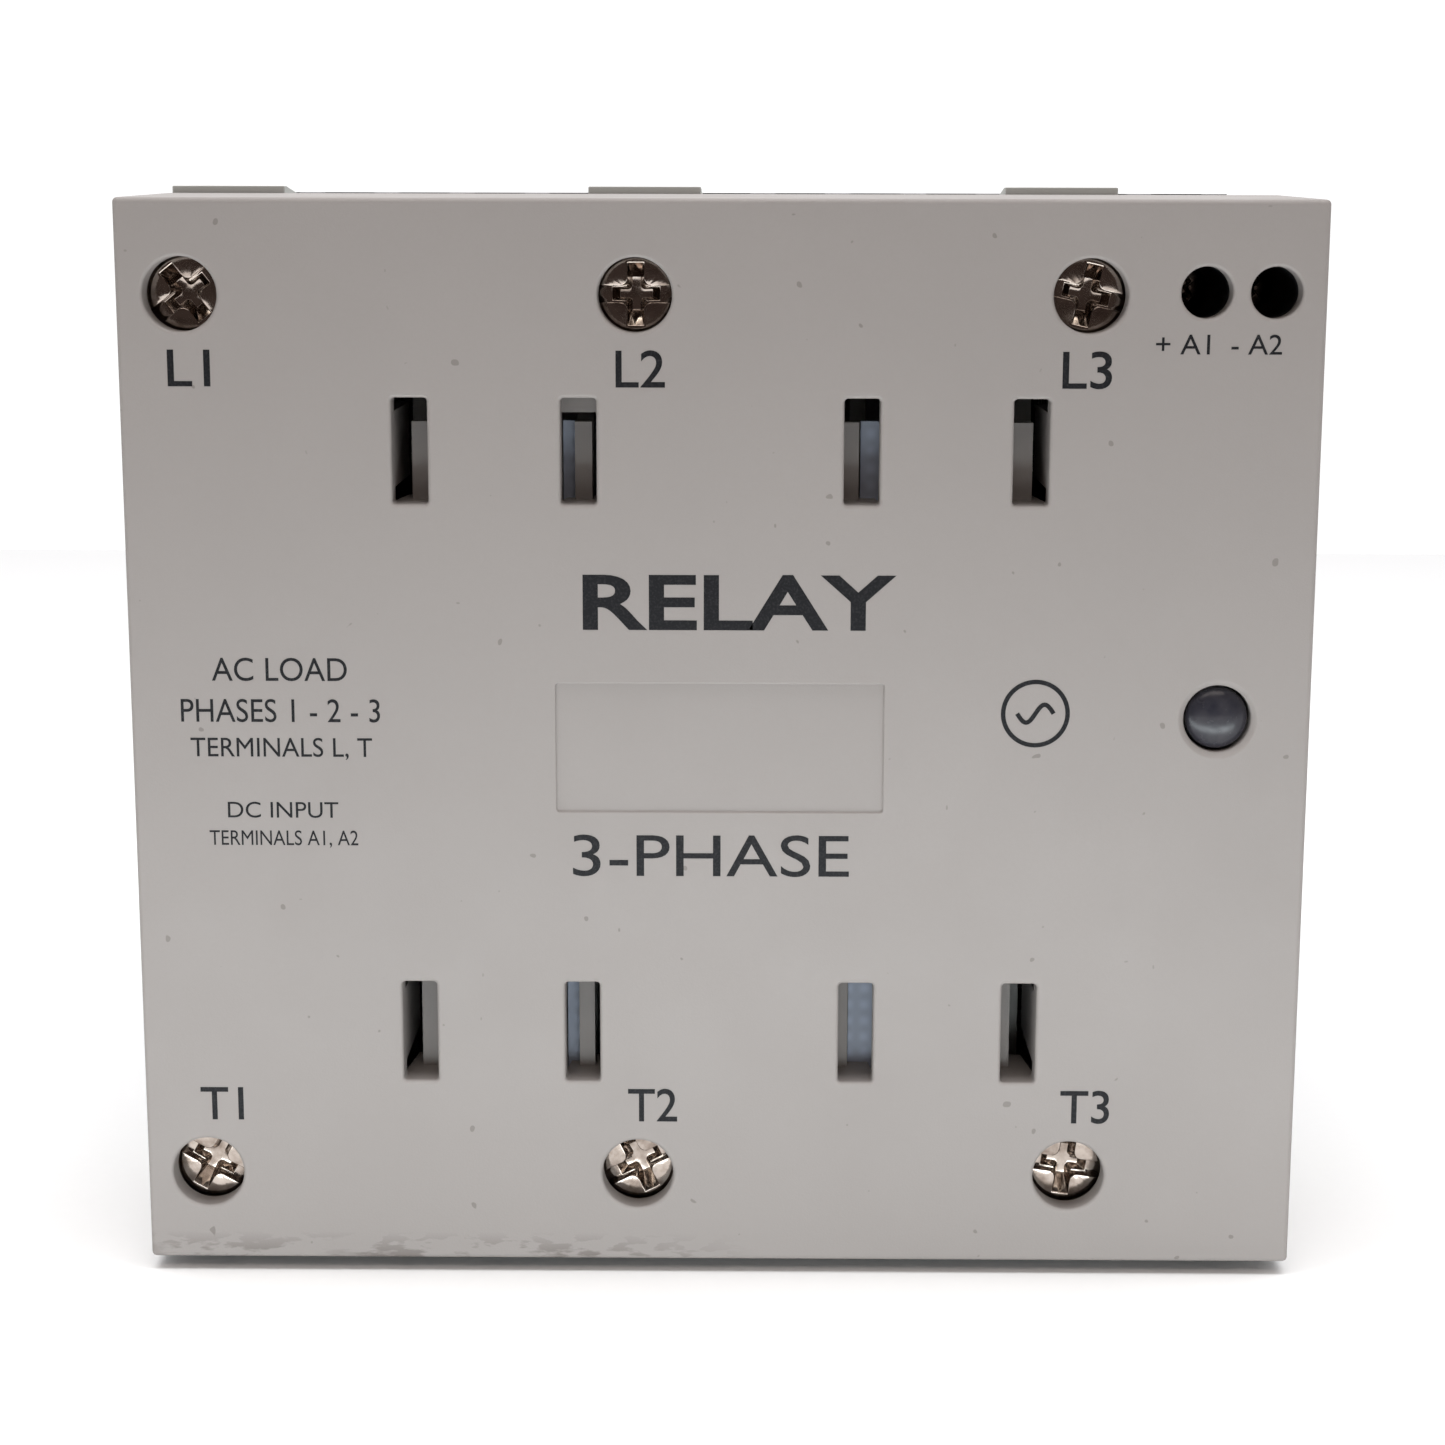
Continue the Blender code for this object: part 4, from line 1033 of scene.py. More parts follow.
@dataclass
class RearHousing:
    """The grey half of the case that stands on the heat sink, with its walls, collars, bosses and snap arms."""

    wall: float = 1.5
    inset: float = 0.12
    partition_wall: float = 1.6
    partition_front: float = 14.0
    partition_half: float = 35.0
    inner_partition: float = 13.1
    outer_partition: float = 29.0
    shelf_back: float = 31.6
    cross_wall: Span = (34.7, 36.1)
    collar_half: float = 5.6
    collar_rise: float = 0.83
    collar_top: float = 27.9
    collar_back: float = 34.5
    entry_half: float = 3.3
    entry: Span = (27.9, 36.1)
    control_entry_half: float = 2.1
    control_entry: Span = (28.6, 35.0)
    clip_z: float = 30.0
    clip_half: float = 2.6

    def build(self) -> bpy.types.Object:
        """Make the housing and dress it."""
        x, depth, z = spans_of("rear_housing")
        cover_x, cover_depth, cover_z = spans_of("front_cover")
        depth = (cover_depth[1] + GAP, depth[1])
        x, z = (spread(s, -self.inset) for s in (cover_x, cover_z))
        ring = Form().box(x, depth, z)
        corners = [e for e in ring.bm.edges if abs(e.verts[0].co.y - e.verts[1].co.y) > 1.0]
        ring.rounded(0.45, 4, corners)
        housing = Carving("rear_housing_shell", ring)
        inner_x, inner_z = (spread(s, -self.wall) for s in (x, z))
        housing.work(Step.CUT, Form().box(inner_x, spread(depth, 1.0), inner_z))
        housing.work(Step.JOIN, self.collars(depth[0], z[1]))
        housing.work(Step.JOIN, self.cross_walls(depth, inner_x, inner_z))
        housing.work(Step.JOIN, self.partitions(depth[1]))
        housing.work(Step.CUT, self.entries(depth, inner_z[1], z[1]))
        return finish_piece(housing.done(0.13, 2, split=True), CASE_GREY, "case", "rear_housing")

    def collars(self, front: float, top: float) -> Form:
        """Give the wedges round the wire entries."""
        form = Form()
        for tag in LOAD_TAGS:
            middle = middle_of(f"load_screw_{tag}")
            side = 1 if middle.z > 0 else -1
            foot = side * (top - 0.5)
            wedge = (
                (front, foot),
                (front, side * (top + self.collar_rise)),
                (self.collar_top, side * (top + self.collar_rise)),
                (self.collar_back, side * top),
                (self.collar_back, foot),
            )
            form.prism(wedge, about(middle.x, self.collar_half), Axis.ACROSS)
        return form

    def cross_walls(self, depth: Span, inner_x: Span, inner_z: Span) -> Form:
        """Give the two walls that run across, the screw bosses and the shelf under the board."""
        form = Form()
        for side in (-1, 1):
            form.box(spread(inner_x, 0.5), (depth[0] + GAP, self.shelf_back), turned_over(self.cross_wall, side))
        for number in range(1, 5):
            screw = middle_of(f"housing_screw_{number}")
            side = 1 if screw.z > 0 else -1
            boss_z = turned_over((abs(screw.z) - 4.8, inner_z[1] + 0.5), side)
            form.box(about(screw.x, 4.0), (41.0, depth[1]), boss_z)
        board_x, board_depth, board_z = spans_of("control_board")
        shelf_x = (board_x[1] - 0.8, inner_x[1] + 0.5)
        form.box(shelf_x, (board_depth[1] + GAP, self.shelf_back), (board_z[0], board_z[1] - 1.0))
        return form

    def partitions(self, back: float) -> Form:
        """Give the four upright walls and the four snap arms."""
        form = Form()
        half = self.partition_wall / 2
        arm = (
            (54.6, 26.7),
            (54.6, 28.5),
            (51.7, 28.5),
            (51.7, 19.4),
            (52.9, 19.4),
            (52.9, 20.7),
            (54.4, 21.4),
            (54.4, 22.9),
            (52.9, 22.9),
            (52.9, 26.7),
        )
        for side in (-1, 1):
            tall = about(0.0, self.partition_half)
            form.box(about(side * self.inner_partition, half), (self.partition_front, back), tall)
            form.box(about(side * self.outer_partition, half), (self.partition_front, self.shelf_back), tall)
            for z in (-self.clip_z, self.clip_z):
                form.prism([(side * px, pd) for px, pd in arm], about(z, self.clip_half), Axis.UP)
        return form

    def entries(self, depth: Span, inside: float, outside: float) -> Form:
        """Give the wire entries, the screw holes and the notch for the control tongues."""
        form = Form()
        for tag in LOAD_TAGS:
            middle = middle_of(f"load_screw_{tag}")
            side = 1 if middle.z > 0 else -1
            outline = rounded_rectangle(about(middle.x, self.entry_half), self.entry, 0.5)
            form.prism(outline, turned_over((inside - 0.2, outside + 2.0), side), Axis.UP)
        for tag in CONTROL_TAGS:
            middle = middle_of(f"control_screw_{tag}")
            outline = rounded_rectangle(about(middle.x, self.control_entry_half), self.control_entry, 0.4)
            form.prism(outline, (inside - 0.2, outside + 1.0), Axis.UP)
        for number in range(1, 5):
            screw = middle_of(f"housing_screw_{number}")
            form.turned(screw.x, screw.z, ((40.0, 2.3), (depth[1] + 1.0, 2.3)), 24)
        left, right = (middle_of(f"control_tongue_{tag}").x for tag in CONTROL_TAGS)
        form.box((left - 2.6, right + 2.6), (depth[0] - 1.0, 29.3), spread(self.cross_wall, 0.5))
        return form


# ---------------------------------------------------------------- terminals


@dataclass
class ThreadTree:
    """A Geometry Nodes tree that winds a ridge round a shank, used for threads and for the latch spring."""

    name: str = "wound_ridge"
    tree: bpy.types.NodeTree = field(init=False)
    ids: dict[str, str] = field(default_factory=dict)

    def __post_init__(self) -> None:
        """Build the tree: a spiral swept by a round wire, then realised and given its material."""
        self.tree = bpy.data.node_groups.new(self.name, "GeometryNodeTree")
        face = self.tree.interface
        face.new_socket("Geometry", in_out="OUTPUT", socket_type="NodeSocketGeometry")
        inputs = (
            ("Radius", "NodeSocketFloat"),
            ("Wire", "NodeSocketFloat"),
            ("Length", "NodeSocketFloat"),
            ("Turns", "NodeSocketFloat"),
            ("Steps", "NodeSocketInt"),
            ("Sides", "NodeSocketInt"),
            ("Material", "NodeSocketMaterial"),
        )
        for label, kind in inputs:
            self.ids[label] = face.new_socket(label, in_out="INPUT", socket_type=kind).identifier
        nodes, links = self.tree.nodes, self.tree.links
        given = nodes.new("NodeGroupInput").outputs
        spiral = nodes.new("GeometryNodeCurveSpiral")
        for socket, label in (
            ("Resolution", "Steps"),
            ("Rotations", "Turns"),
            ("Start Radius", "Radius"),
            ("End Radius", "Radius"),
            ("Height", "Length"),
        ):
            links.new(given[label], spiral.inputs[socket])
        ring = nodes.new("GeometryNodeCurvePrimitiveCircle")
        links.new(given["Sides"], ring.inputs["Resolution"])
        links.new(given["Wire"], ring.inputs["Radius"])
        sweep = nodes.new("GeometryNodeCurveToMesh")
        sweep.inputs["Fill Caps"].default_value = True
        links.new(spiral.outputs["Curve"], sweep.inputs["Curve"])
        links.new(ring.outputs["Curve"], sweep.inputs["Profile Curve"])
        shade = nodes.new("GeometryNodeSetShadeSmooth")
        real = nodes.new("GeometryNodeRealizeInstances")
        paint = nodes.new("GeometryNodeSetMaterial")
        links.new(sweep.outputs["Mesh"], shade.inputs["Geometry"])
        links.new(shade.outputs["Geometry"], real.inputs["Geometry"])
        links.new(real.outputs["Geometry"], paint.inputs["Geometry"])
        links.new(given["Material"], paint.inputs["Material"])
        links.new(paint.outputs["Geometry"], nodes.new("NodeGroupOutput").inputs["Geometry"])

    def wind(self, name: str, finish: Finish, **sizes: float) -> bpy.types.Object:
        """Wind one ridge along +Z from the origin.

        Args:
            name: the piece's name.
            finish: its finish.
            sizes: Radius, Wire and Length in metres, and Turns, Steps and Sides.

        Returns:
            The ridge as a plain mesh.
        """
        item = bpy.data.objects.new(name, bpy.data.meshes.new(name))
        bpy.context.scene.collection.objects.link(item)
        modifier = item.modifiers.new("ridge", "NODES")
        modifier.node_group = self.tree
        for label, value in sizes.items():
            modifier[self.ids[label]] = value
        modifier[self.ids["Material"]] = material_of(finish)
        return baked(item)


def merged(name: str, *parts: bpy.types.Object) -> bpy.types.Object:
    """Put several plain meshes into one piece."""
    bm = bmesh.new()
    for part in parts:
        bm.from_mesh(part.data)
    mesh = bpy.data.meshes.new(name)
    bm.to_mesh(mesh)
    bm.free()
    for part in parts:
        bpy.data.objects.remove(part, do_unlink=True)
    item = bpy.data.objects.new(name, mesh)
    bpy.context.scene.collection.objects.link(item)
    return item


@dataclass
class TerminalScrew:
    """A terminal screw with a combined cross and slot recess, a rounded head and a rolled thread."""

    node: str
    body: str
    head_height: float = 2.8
    shank: float = 1.95
    turn_deg: float = 0.0
    pitch: float = 0.7

    def build(self, threads: ThreadTree) -> bpy.types.Object:
        """Make the screw and dress it."""
        x, depth, z = spans_of(self.node)
        middle = middle_of(self.node)
        radius = (x[1] - x[0]) / 2
        front = depth[0]
        seat = front + self.head_height
        tip = depth[1]
        crown = arc((front + 0.75, radius - 0.7), 0.7, 180.0, 90.0, 6)
        profile = [(front + 0.02, 0.6), (front + 0.05, radius - 0.7), *crown[1:]]
        profile += [(seat - 0.2, radius), (seat, radius - 0.2), (seat, self.shank * 0.9)]
        profile += [(tip - 0.7, self.shank * 0.9), (tip, self.shank * 0.55)]
        head = Carving(f"{self.node}_body", Form().turned(middle.x, middle.z, profile, 72))
        head.work(Step.CUT, self.cross(middle, radius, front))
        head.work(Step.CUT, self.slot(middle, radius, front))
        body = head.done(0.07, 2, 35.0, split=True)
        length = tip - seat - 1.0
        thread = threads.wind(
            f"{self.node}_thread",
            SCREW_NICKEL,
            Radius=(self.shank - 0.19) * MM,
            Wire=0.19 * MM,
            Length=length * MM,
            Turns=length / self.pitch,
            Steps=18,
            Sides=6,
        )
        place = Matrix.Translation((middle.x * MM, FACE_Y + (tip - 0.7) * MM, middle.z * MM))
        thread.data.transform(place @ Matrix.Rotation(math.pi / 2, 4, "X"))
        piece = merged(f"{self.node}_fine", body, thread)
        return finish_piece(piece, SCREW_NICKEL, self.body, self.node)

    def cross(self, middle: Vector, radius: float, front: float) -> Form:
        """Give the cross recess: four arms with round corners between them, narrowing as it goes in."""
        reach = radius * 0.75
        arm = radius * 0.2
        fillet = radius * 0.19
        outline: list[Span] = []
        for quarter in range(4):
            corner = arc((arm + fillet, arm + fillet), fillet, 270.0, 180.0, 5)
            points = [(reach, arm), *corner, (arm, reach)]
            for px, pz in points:
                for _ in range(quarter):
                    px, pz = -pz, px
                outline.append((middle.x + px, middle.z + pz))
        form = Form().prism(outline, (front - 0.05, front + radius * 0.58), Axis.DEPTH, 0.52)
        return form.spun(middle.x, middle.z, self.turn_deg)

    def slot(self, middle: Vector, radius: float, front: float) -> Form:
        """Give the driver slot that runs right across the head."""
        across = about(middle.x, radius + 0.5)
        form = Form().box(across, (front - 0.5, front + radius * 0.28), about(middle.z, radius * 0.2))
        return form.spun(middle.x, middle.z, self.turn_deg)


@dataclass
class ClampCage:
    """A rising clamp folded from strip, with a thick threaded front wall and a ribbed floor."""

    node: str
    body: str
    wall: float
    window: Span
    hole: float

    def build(self) -> bpy.types.Object:
        """Make the cage and dress it."""
        x, depth, z = spans_of(self.node)
        middle = middle_of(self.node)
        shell = Form().box(x, depth, z)
        uprights = [e for e in shell.bm.edges if abs(e.verts[0].co.z - e.verts[1].co.z) > 1.0]
        shell.rounded(0.5, 3, uprights)
        cage = Carving(f"{self.node}_fine", shell)
        cage.work(Step.CUT, Form().box(spread(x, -self.wall), self.window, spread(z, 1.0)))
        hole = ((depth[0] - 1.0, self.hole), (self.window[0] + 0.5, self.hole))
        cage.work(Step.CUT, Form().turned(middle.x, middle.z, hole, 40))
        grooves = Form()
        for step in range(-2, 3):
            groove_z = about(middle.z + step * (z[1] - z[0]) / 6.5, 0.22)
            grooves.box(spread(x, -self.wall - 0.3), (self.window[1] - 0.1, self.window[1] + 0.25), groove_z)
        cage.work(Step.CUT, grooves)
        return finish_piece(cage.done(0.06, 1, split=True), CAGE_NICKEL, self.body, self.node)


@dataclass
class TerminalCarrier:
    """The black moulding that guides three load cages."""

    node: str
    side: int
    pocket: Span = (15.2, 37.4)
    clearance: float = 0.3
    plate_back: float = 10.0
    entry: Span = (27.9, 35.8)
    tower_wall: float = 1.2
    shank_hole: float = 2.45

    def build(self) -> bpy.types.Object:
        """Make the carrier and dress it."""
        x, depth, z = spans_of(self.node)
        tags = [tag for tag in LOAD_TAGS if (middle_of(f"load_cage_{tag}").z > 0) == (self.side > 0)]
        body_z = self.body_span(z)
        carrier = Carving(f"{self.node}_fine", Form().box(x, depth, body_z))
        cages = [(spans_of(f"load_cage_{tag}"), middle_of(f"load_cage_{tag}")) for tag in tags]
        gaps = Form()
        for (left, _), (right, _) in zip(cages, cages[1:]):
            margin = self.clearance + self.tower_wall
            gaps.box((left[0][1] + margin, right[0][0] - margin), (self.plate_back, depth[1] + 1.0), spread(body_z, 1.0))
        for (cx, _, cz), _ in cages:
            gaps.box(spread(cx, self.clearance), self.pocket, spread(cz, self.clearance))
        carrier.work(Step.CUT, gaps)
        ways = Form()
        outer = max(abs(v) for v in body_z)
        inner = min(abs(v) for v in body_z)
        for (cx, _, cz), middle in cages:
            far = max(abs(v) for v in cz)
            near = min(abs(v) for v in cz)
            ways.turned(middle.x, middle.z, ((depth[0] - 1.0, self.shank_hole), (self.pocket[0] + 1.0, self.shank_hole)), 40)
            ways.box(spread(cx, -0.2), self.entry, turned_over((far, outer + 1.0), self.side))
            ways.box(about(middle.x, 2.4), (24.1, 26.4), turned_over((inner - 1.0, near), self.side))
        carrier.work(Step.CUT, ways)
        return finish_piece(carrier.done(0.12, 2), CARRIER_BLACK, "case", self.node)

    def body_span(self, z: Span) -> Span:
        """Give the span of the towers, without the apron that hangs from the upper carrier."""
        return turned_over((36.4, max(abs(v) for v in z)), self.side)


@dataclass
class ControlBlock:
    """The black moulding that holds both control terminals."""

    hole: float = 2.35
    shank_hole: float = 1.7

    def build(self) -> bpy.types.Object:
        """Make the block and dress it."""
        x, depth, z = spans_of("control_terminal_block")
        block = Carving("control_terminal_block_fine", Form().box(x, depth, z))
        pockets = Form()
        ways = Form()
        for tag in CONTROL_TAGS:
            cx, cdepth, cz = spans_of(f"control_cage_{tag}")
            middle = middle_of(f"control_screw_{tag}")
            head_back = spans_of(f"control_screw_{tag}")[1][0] + 2.4
            bore = ((depth[0] - 1.0, self.hole + 0.25), (depth[0] + 0.5, self.hole), (head_back, self.hole))
            pockets.turned(middle.x, middle.z, bore, 48)
            pocket_z = spread(cz, GAP)
            pockets.box(spread(cx, GAP), (21.9, 36.2), pocket_z)
            way = ((head_back - 0.2, self.shank_hole), (22.4, self.shank_hole))
            ways.turned(middle.x, middle.z, way, 32)
            ways.box(spread(cx, -0.3), (28.8, 34.8), (pocket_z[1] - 0.5, z[1] + 1.0))
            ways.box(about(middle.x, 1.7), (27.1, 28.9), (z[0] - 1.0, pocket_z[0] + 0.5))
        block.work(Step.CUT, pockets)
        block.work(Step.CUT, ways)
        return finish_piece(block.done(0.12, 2), CARRIER_BLACK, "case", "control_terminal_block")


@dataclass
class Terminals:
    """Everything that takes a wire: screws, cages, busbars, carriers and the control block."""

    turns_deg: dict[str, float] = field(
        default_factory=lambda: {"l1": 38.0, "l2": 0.0, "l3": -13.0, "t1": -30.0, "t2": 27.0, "t3": -8.0}
    )

    def build(self) -> None:
        """Make every terminal piece."""
        threads = ThreadTree()
        for tag in LOAD_TAGS:
            screw = TerminalScrew(f"load_screw_{tag}", f"screw_{tag}", turn_deg=self.turns_deg[tag])
            screw.build(threads)
            ClampCage(f"load_cage_{tag}", f"cage_{tag}", 0.8, (23.5, 35.6), 2.4).build()
            self.busbar(f"load_busbar_{tag}")
        for number, tag in enumerate(CONTROL_TAGS, start=1):
            turn = 90.0 * number - 50.0
            TerminalScrew(f"control_screw_{tag}", f"screw_{tag}", 2.0, 1.35, turn, 0.5).build(threads)
            ClampCage(f"control_cage_{tag}", f"cage_{tag}", 0.6, (26.9, 35.0), 1.7).build()
            dress_node(f"control_tongue_{tag}", BUSBAR_TIN)
        TerminalCarrier("upper_terminal_carrier", 1).build()
        TerminalCarrier("lower_terminal_carrier", -1).build()
        ControlBlock().build()

    def busbar(self, node: str) -> bpy.types.Object:
        """Make one busbar, bent from strip with a round corner, and dress it."""
        x, depth, z = spans_of(node)
        side = 1 if z[0] > 0 else -1
        near, far = sorted(abs(v) for v in z)
        thick = 1.5
        outer = arc((depth[0] + thick + 0.6, near + thick + 0.6), thick + 0.6, 270.0, 180.0, 6)
        inner = arc((depth[0] + thick + 0.6, near + thick + 0.6), 0.6, 180.0, 270.0, 6)
        outline = [(depth[1], near), *outer, (depth[0], far), (depth[0] + thick, far), *inner, (depth[1], near + thick)]
        form = Form().prism([(d, side * v) for d, v in outline], x, Axis.ACROSS)
        bar = Carving(f"{node}_fine", form)
        return finish_piece(bar.done(0.12, 2), BUSBAR_TIN, "case", node)


@dataclass
class Indicator:
    """The smoked lens in the face, with its flange and the light pipe behind it."""

    dome_sag: float = 1.0
    radius: float = 2.9

    def build(self) -> bpy.types.Object:
        """Make the lens and dress it."""
        _, depth, _ = spans_of("light_pipe")
        middle = middle_of("light_pipe")
        apex = depth[0]
        steps = 12
        dome = []
        for step in range(steps + 1):
            swing = math.pi / 2 * (0.06 + 0.94 * step / steps)
            dome.append((apex + self.dome_sag * (1 - math.cos(swing)), self.radius * math.sin(swing)))
        profile = [*dome, (2.8, self.radius), (2.8, 3.75), (3.8, 3.75), (3.8, 2.0), (depth[1] - 0.3, 1.8)]
        profile += [(depth[1], 1.5)]
        pipe = Carving("indicator_lens", Form().turned(middle.x, middle.z, profile, 72))
        return finish_piece(pipe.done(0.08, 2), LENS_SMOKED, "case", "light_pipe")


# ---------------------------------------------------------------- inside


@dataclass
class FixingScrews:
    """Round headed fixing screws with a cross recess and a rolled thread."""

    head_radius: float = 3.5
    head_height: float = 2.6
    shank: float = 1.95

    def build(self) -> None:
        """Make the module, housing and foot screws."""
        threads = ThreadTree("fixing_thread")
        for family, count in (("module_screw", 6), ("housing_screw", 4), ("foot_screw", 4)):
            for number in range(1, count + 1):
                self.screw(f"{family}_{number}", threads, -1 if family == "foot_screw" else 1)

    def screw(self, node: str, threads: ThreadTree, inward: int) -> bpy.types.Object:
        """Make one screw.

        Args:
            node: the CAD node that it stands for.
            threads: the tree that winds its thread.
            inward: 1 where it is driven from the front, -1 from the back.

        Returns:
            The piece.
        """
        _, depth, _ = spans_of(node)
        middle = middle_of(node)
        crown, tip = depth if inward > 0 else depth[::-1]
        seat = crown + inward * self.head_height
        sag = 1.5
        dome = []
        for step in range(1, 9):
            swing = math.pi / 2 * step / 8
            dome.append((crown + inward * sag * (1 - math.cos(swing)), self.head_radius * math.sin(swing)))
        profile = [*dome, (seat - inward * 0.2, self.head_radius), (seat, self.head_radius - 0.2)]
        profile += [(seat, self.shank * 0.9), (tip - inward * 0.6, self.shank * 0.9), (tip, self.shank * 0.6)]
        head = Carving(f"{node}_body", Form().turned(middle.x, middle.z, profile, 48))
        arm = 0.55
        reach = 2.1
        outline = []
        for quarter in range(4):
            for px, pz in ((reach, -arm), (reach, arm), (arm, arm)):
                for _ in range(quarter):
                    px, pz = -pz, px
                outline.append((middle.x + px, middle.z + pz))
        cross = Form().prism(outline, (crown - inward * 0.3, crown + inward * 2.1), Axis.DEPTH, 0.45)
        head.work(Step.CUT, cross.spun(middle.x, middle.z, 37.0 * len(node) + 23.0 * int(node[-1])))
        body = head.done(0.06, 2, 35.0, split=True)
        length = abs(tip - seat) - 0.8
        thread = threads.wind(
            f"{node}_thread",
            ZINC_STEEL,
            Radius=(self.shank - 0.2) * MM,
            Wire=0.2 * MM,
            Length=length * MM,
            Turns=length / 0.7,
            Steps=16,
            Sides=6,
        )
        place = Matrix.Translation((middle.x * MM, FACE_Y + (tip - inward * 0.6) * MM, middle.z * MM))
        thread.data.transform(place @ Matrix.Rotation(inward * math.pi / 2, 4, "X"))
        return finish_piece(merged(f"{node}_fine", body, thread), ZINC_STEEL, "case", node)


@dataclass
class PowerStage:
    """The power modules, their pads and the control board with its parts."""

    def build(self) -> None:
        """Dress the inner pieces, and make the ones that show through the slots."""
        for number in (1, 2, 3):
            self.module(f"power_module_{number}")
            dress_node(f"thermal_pad_{number}", PAD_GREY)
            self.driver(f"opto_driver_{number}")
        dress_node("control_board", BOARD_GREEN)
        dress_node("status_led", DIE_YELLOW)

    def module(self, node: str) -> bpy.types.Object:
        """Make one power module: a filled tray with a raised rim and two flanges."""
        x, depth, z = spans_of(node)
        flange_front = 40.5
        body_half = 26.0
        outline = (
            (depth[0], -body_half),
            (depth[0], body_half),
            (flange_front, body_half),
            (flange_front, z[1]),
            (depth[1], z[1]),
            (depth[1], z[0]),
            (flange_front, z[0]),
            (flange_front, -body_half),
        )
        module = Carving(f"{node}_fine", Form().prism(outline, x, Axis.ACROSS))
        tray = Form().prism(
            rounded_rectangle(spread(x, -1.5), about(0.0, body_half - 1.5), 1.0),
            (depth[0] - 0.5, depth[0] + 0.8),
            Axis.DEPTH,
        )
        holes = Form()
        middle = (x[0] + x[1]) / 2
        for side in (-1, 1):
            hole = ((flange_front - 1.0, 2.3), (depth[1] + 1.0, 2.3))
            holes.turned(middle, side * 30.0, hole, 32)
        module.work(Step.CUT, tray)
        module.work(Step.CUT, holes)
        return finish_piece(module.done(0.2, 2), MODULE_BLACK, "case", node)

    def driver(self, node: str) -> bpy.types.Object:
        """Make one driver chip: a drafted body with a pin-one dimple and six bent legs."""
        x, depth, z = spans_of(node)
        middle = middle_of(node)
        half = (x[1] - x[0]) / 2
        part = (depth[0] + depth[1]) / 2
        body = (
            (middle.x - half + 0.6, depth[0]),
            (middle.x + half - 0.6, depth[0]),
            (middle.x + half - 0.3, part),
            (middle.x + half - 0.6, depth[1] - 0.3),
            (middle.x - half + 0.6, depth[1] - 0.3),
            (middle.x - half + 0.3, part),
        )
        chip = Carving(f"{node}_fine", Form().prism(body, z, Axis.UP))
        dimple = Form().turned(middle.x - 1.8, z[1] - 1.2, ((depth[0] - 0.5, 0.5), (depth[0] + 0.2, 0.4)), 20)
        chip.work(Step.CUT, dimple)
        legs = Form()
        for side in (-1, 1):
            for step in (-1, 0, 1):
                leg = (
                    (middle.x + side * (half - 0.5), part - 0.15),
                    (middle.x + side * half, part - 0.15),
                    (middle.x + side * half, depth[1]),
                    (middle.x + side * (half - 0.3), depth[1]),
                    (middle.x + side * (half - 0.3), part + 0.15),
                    (middle.x + side * (half - 0.5), part + 0.15),
                )
                legs.prism(leg, about(middle.z + step * 1.4, 0.3), Axis.UP)
        chip.work(Step.JOIN, legs)
        return finish_piece(chip.done(0.05, 1), DRIVER_BLACK, "case", node)


# ---------------------------------------------------------------- heat sink


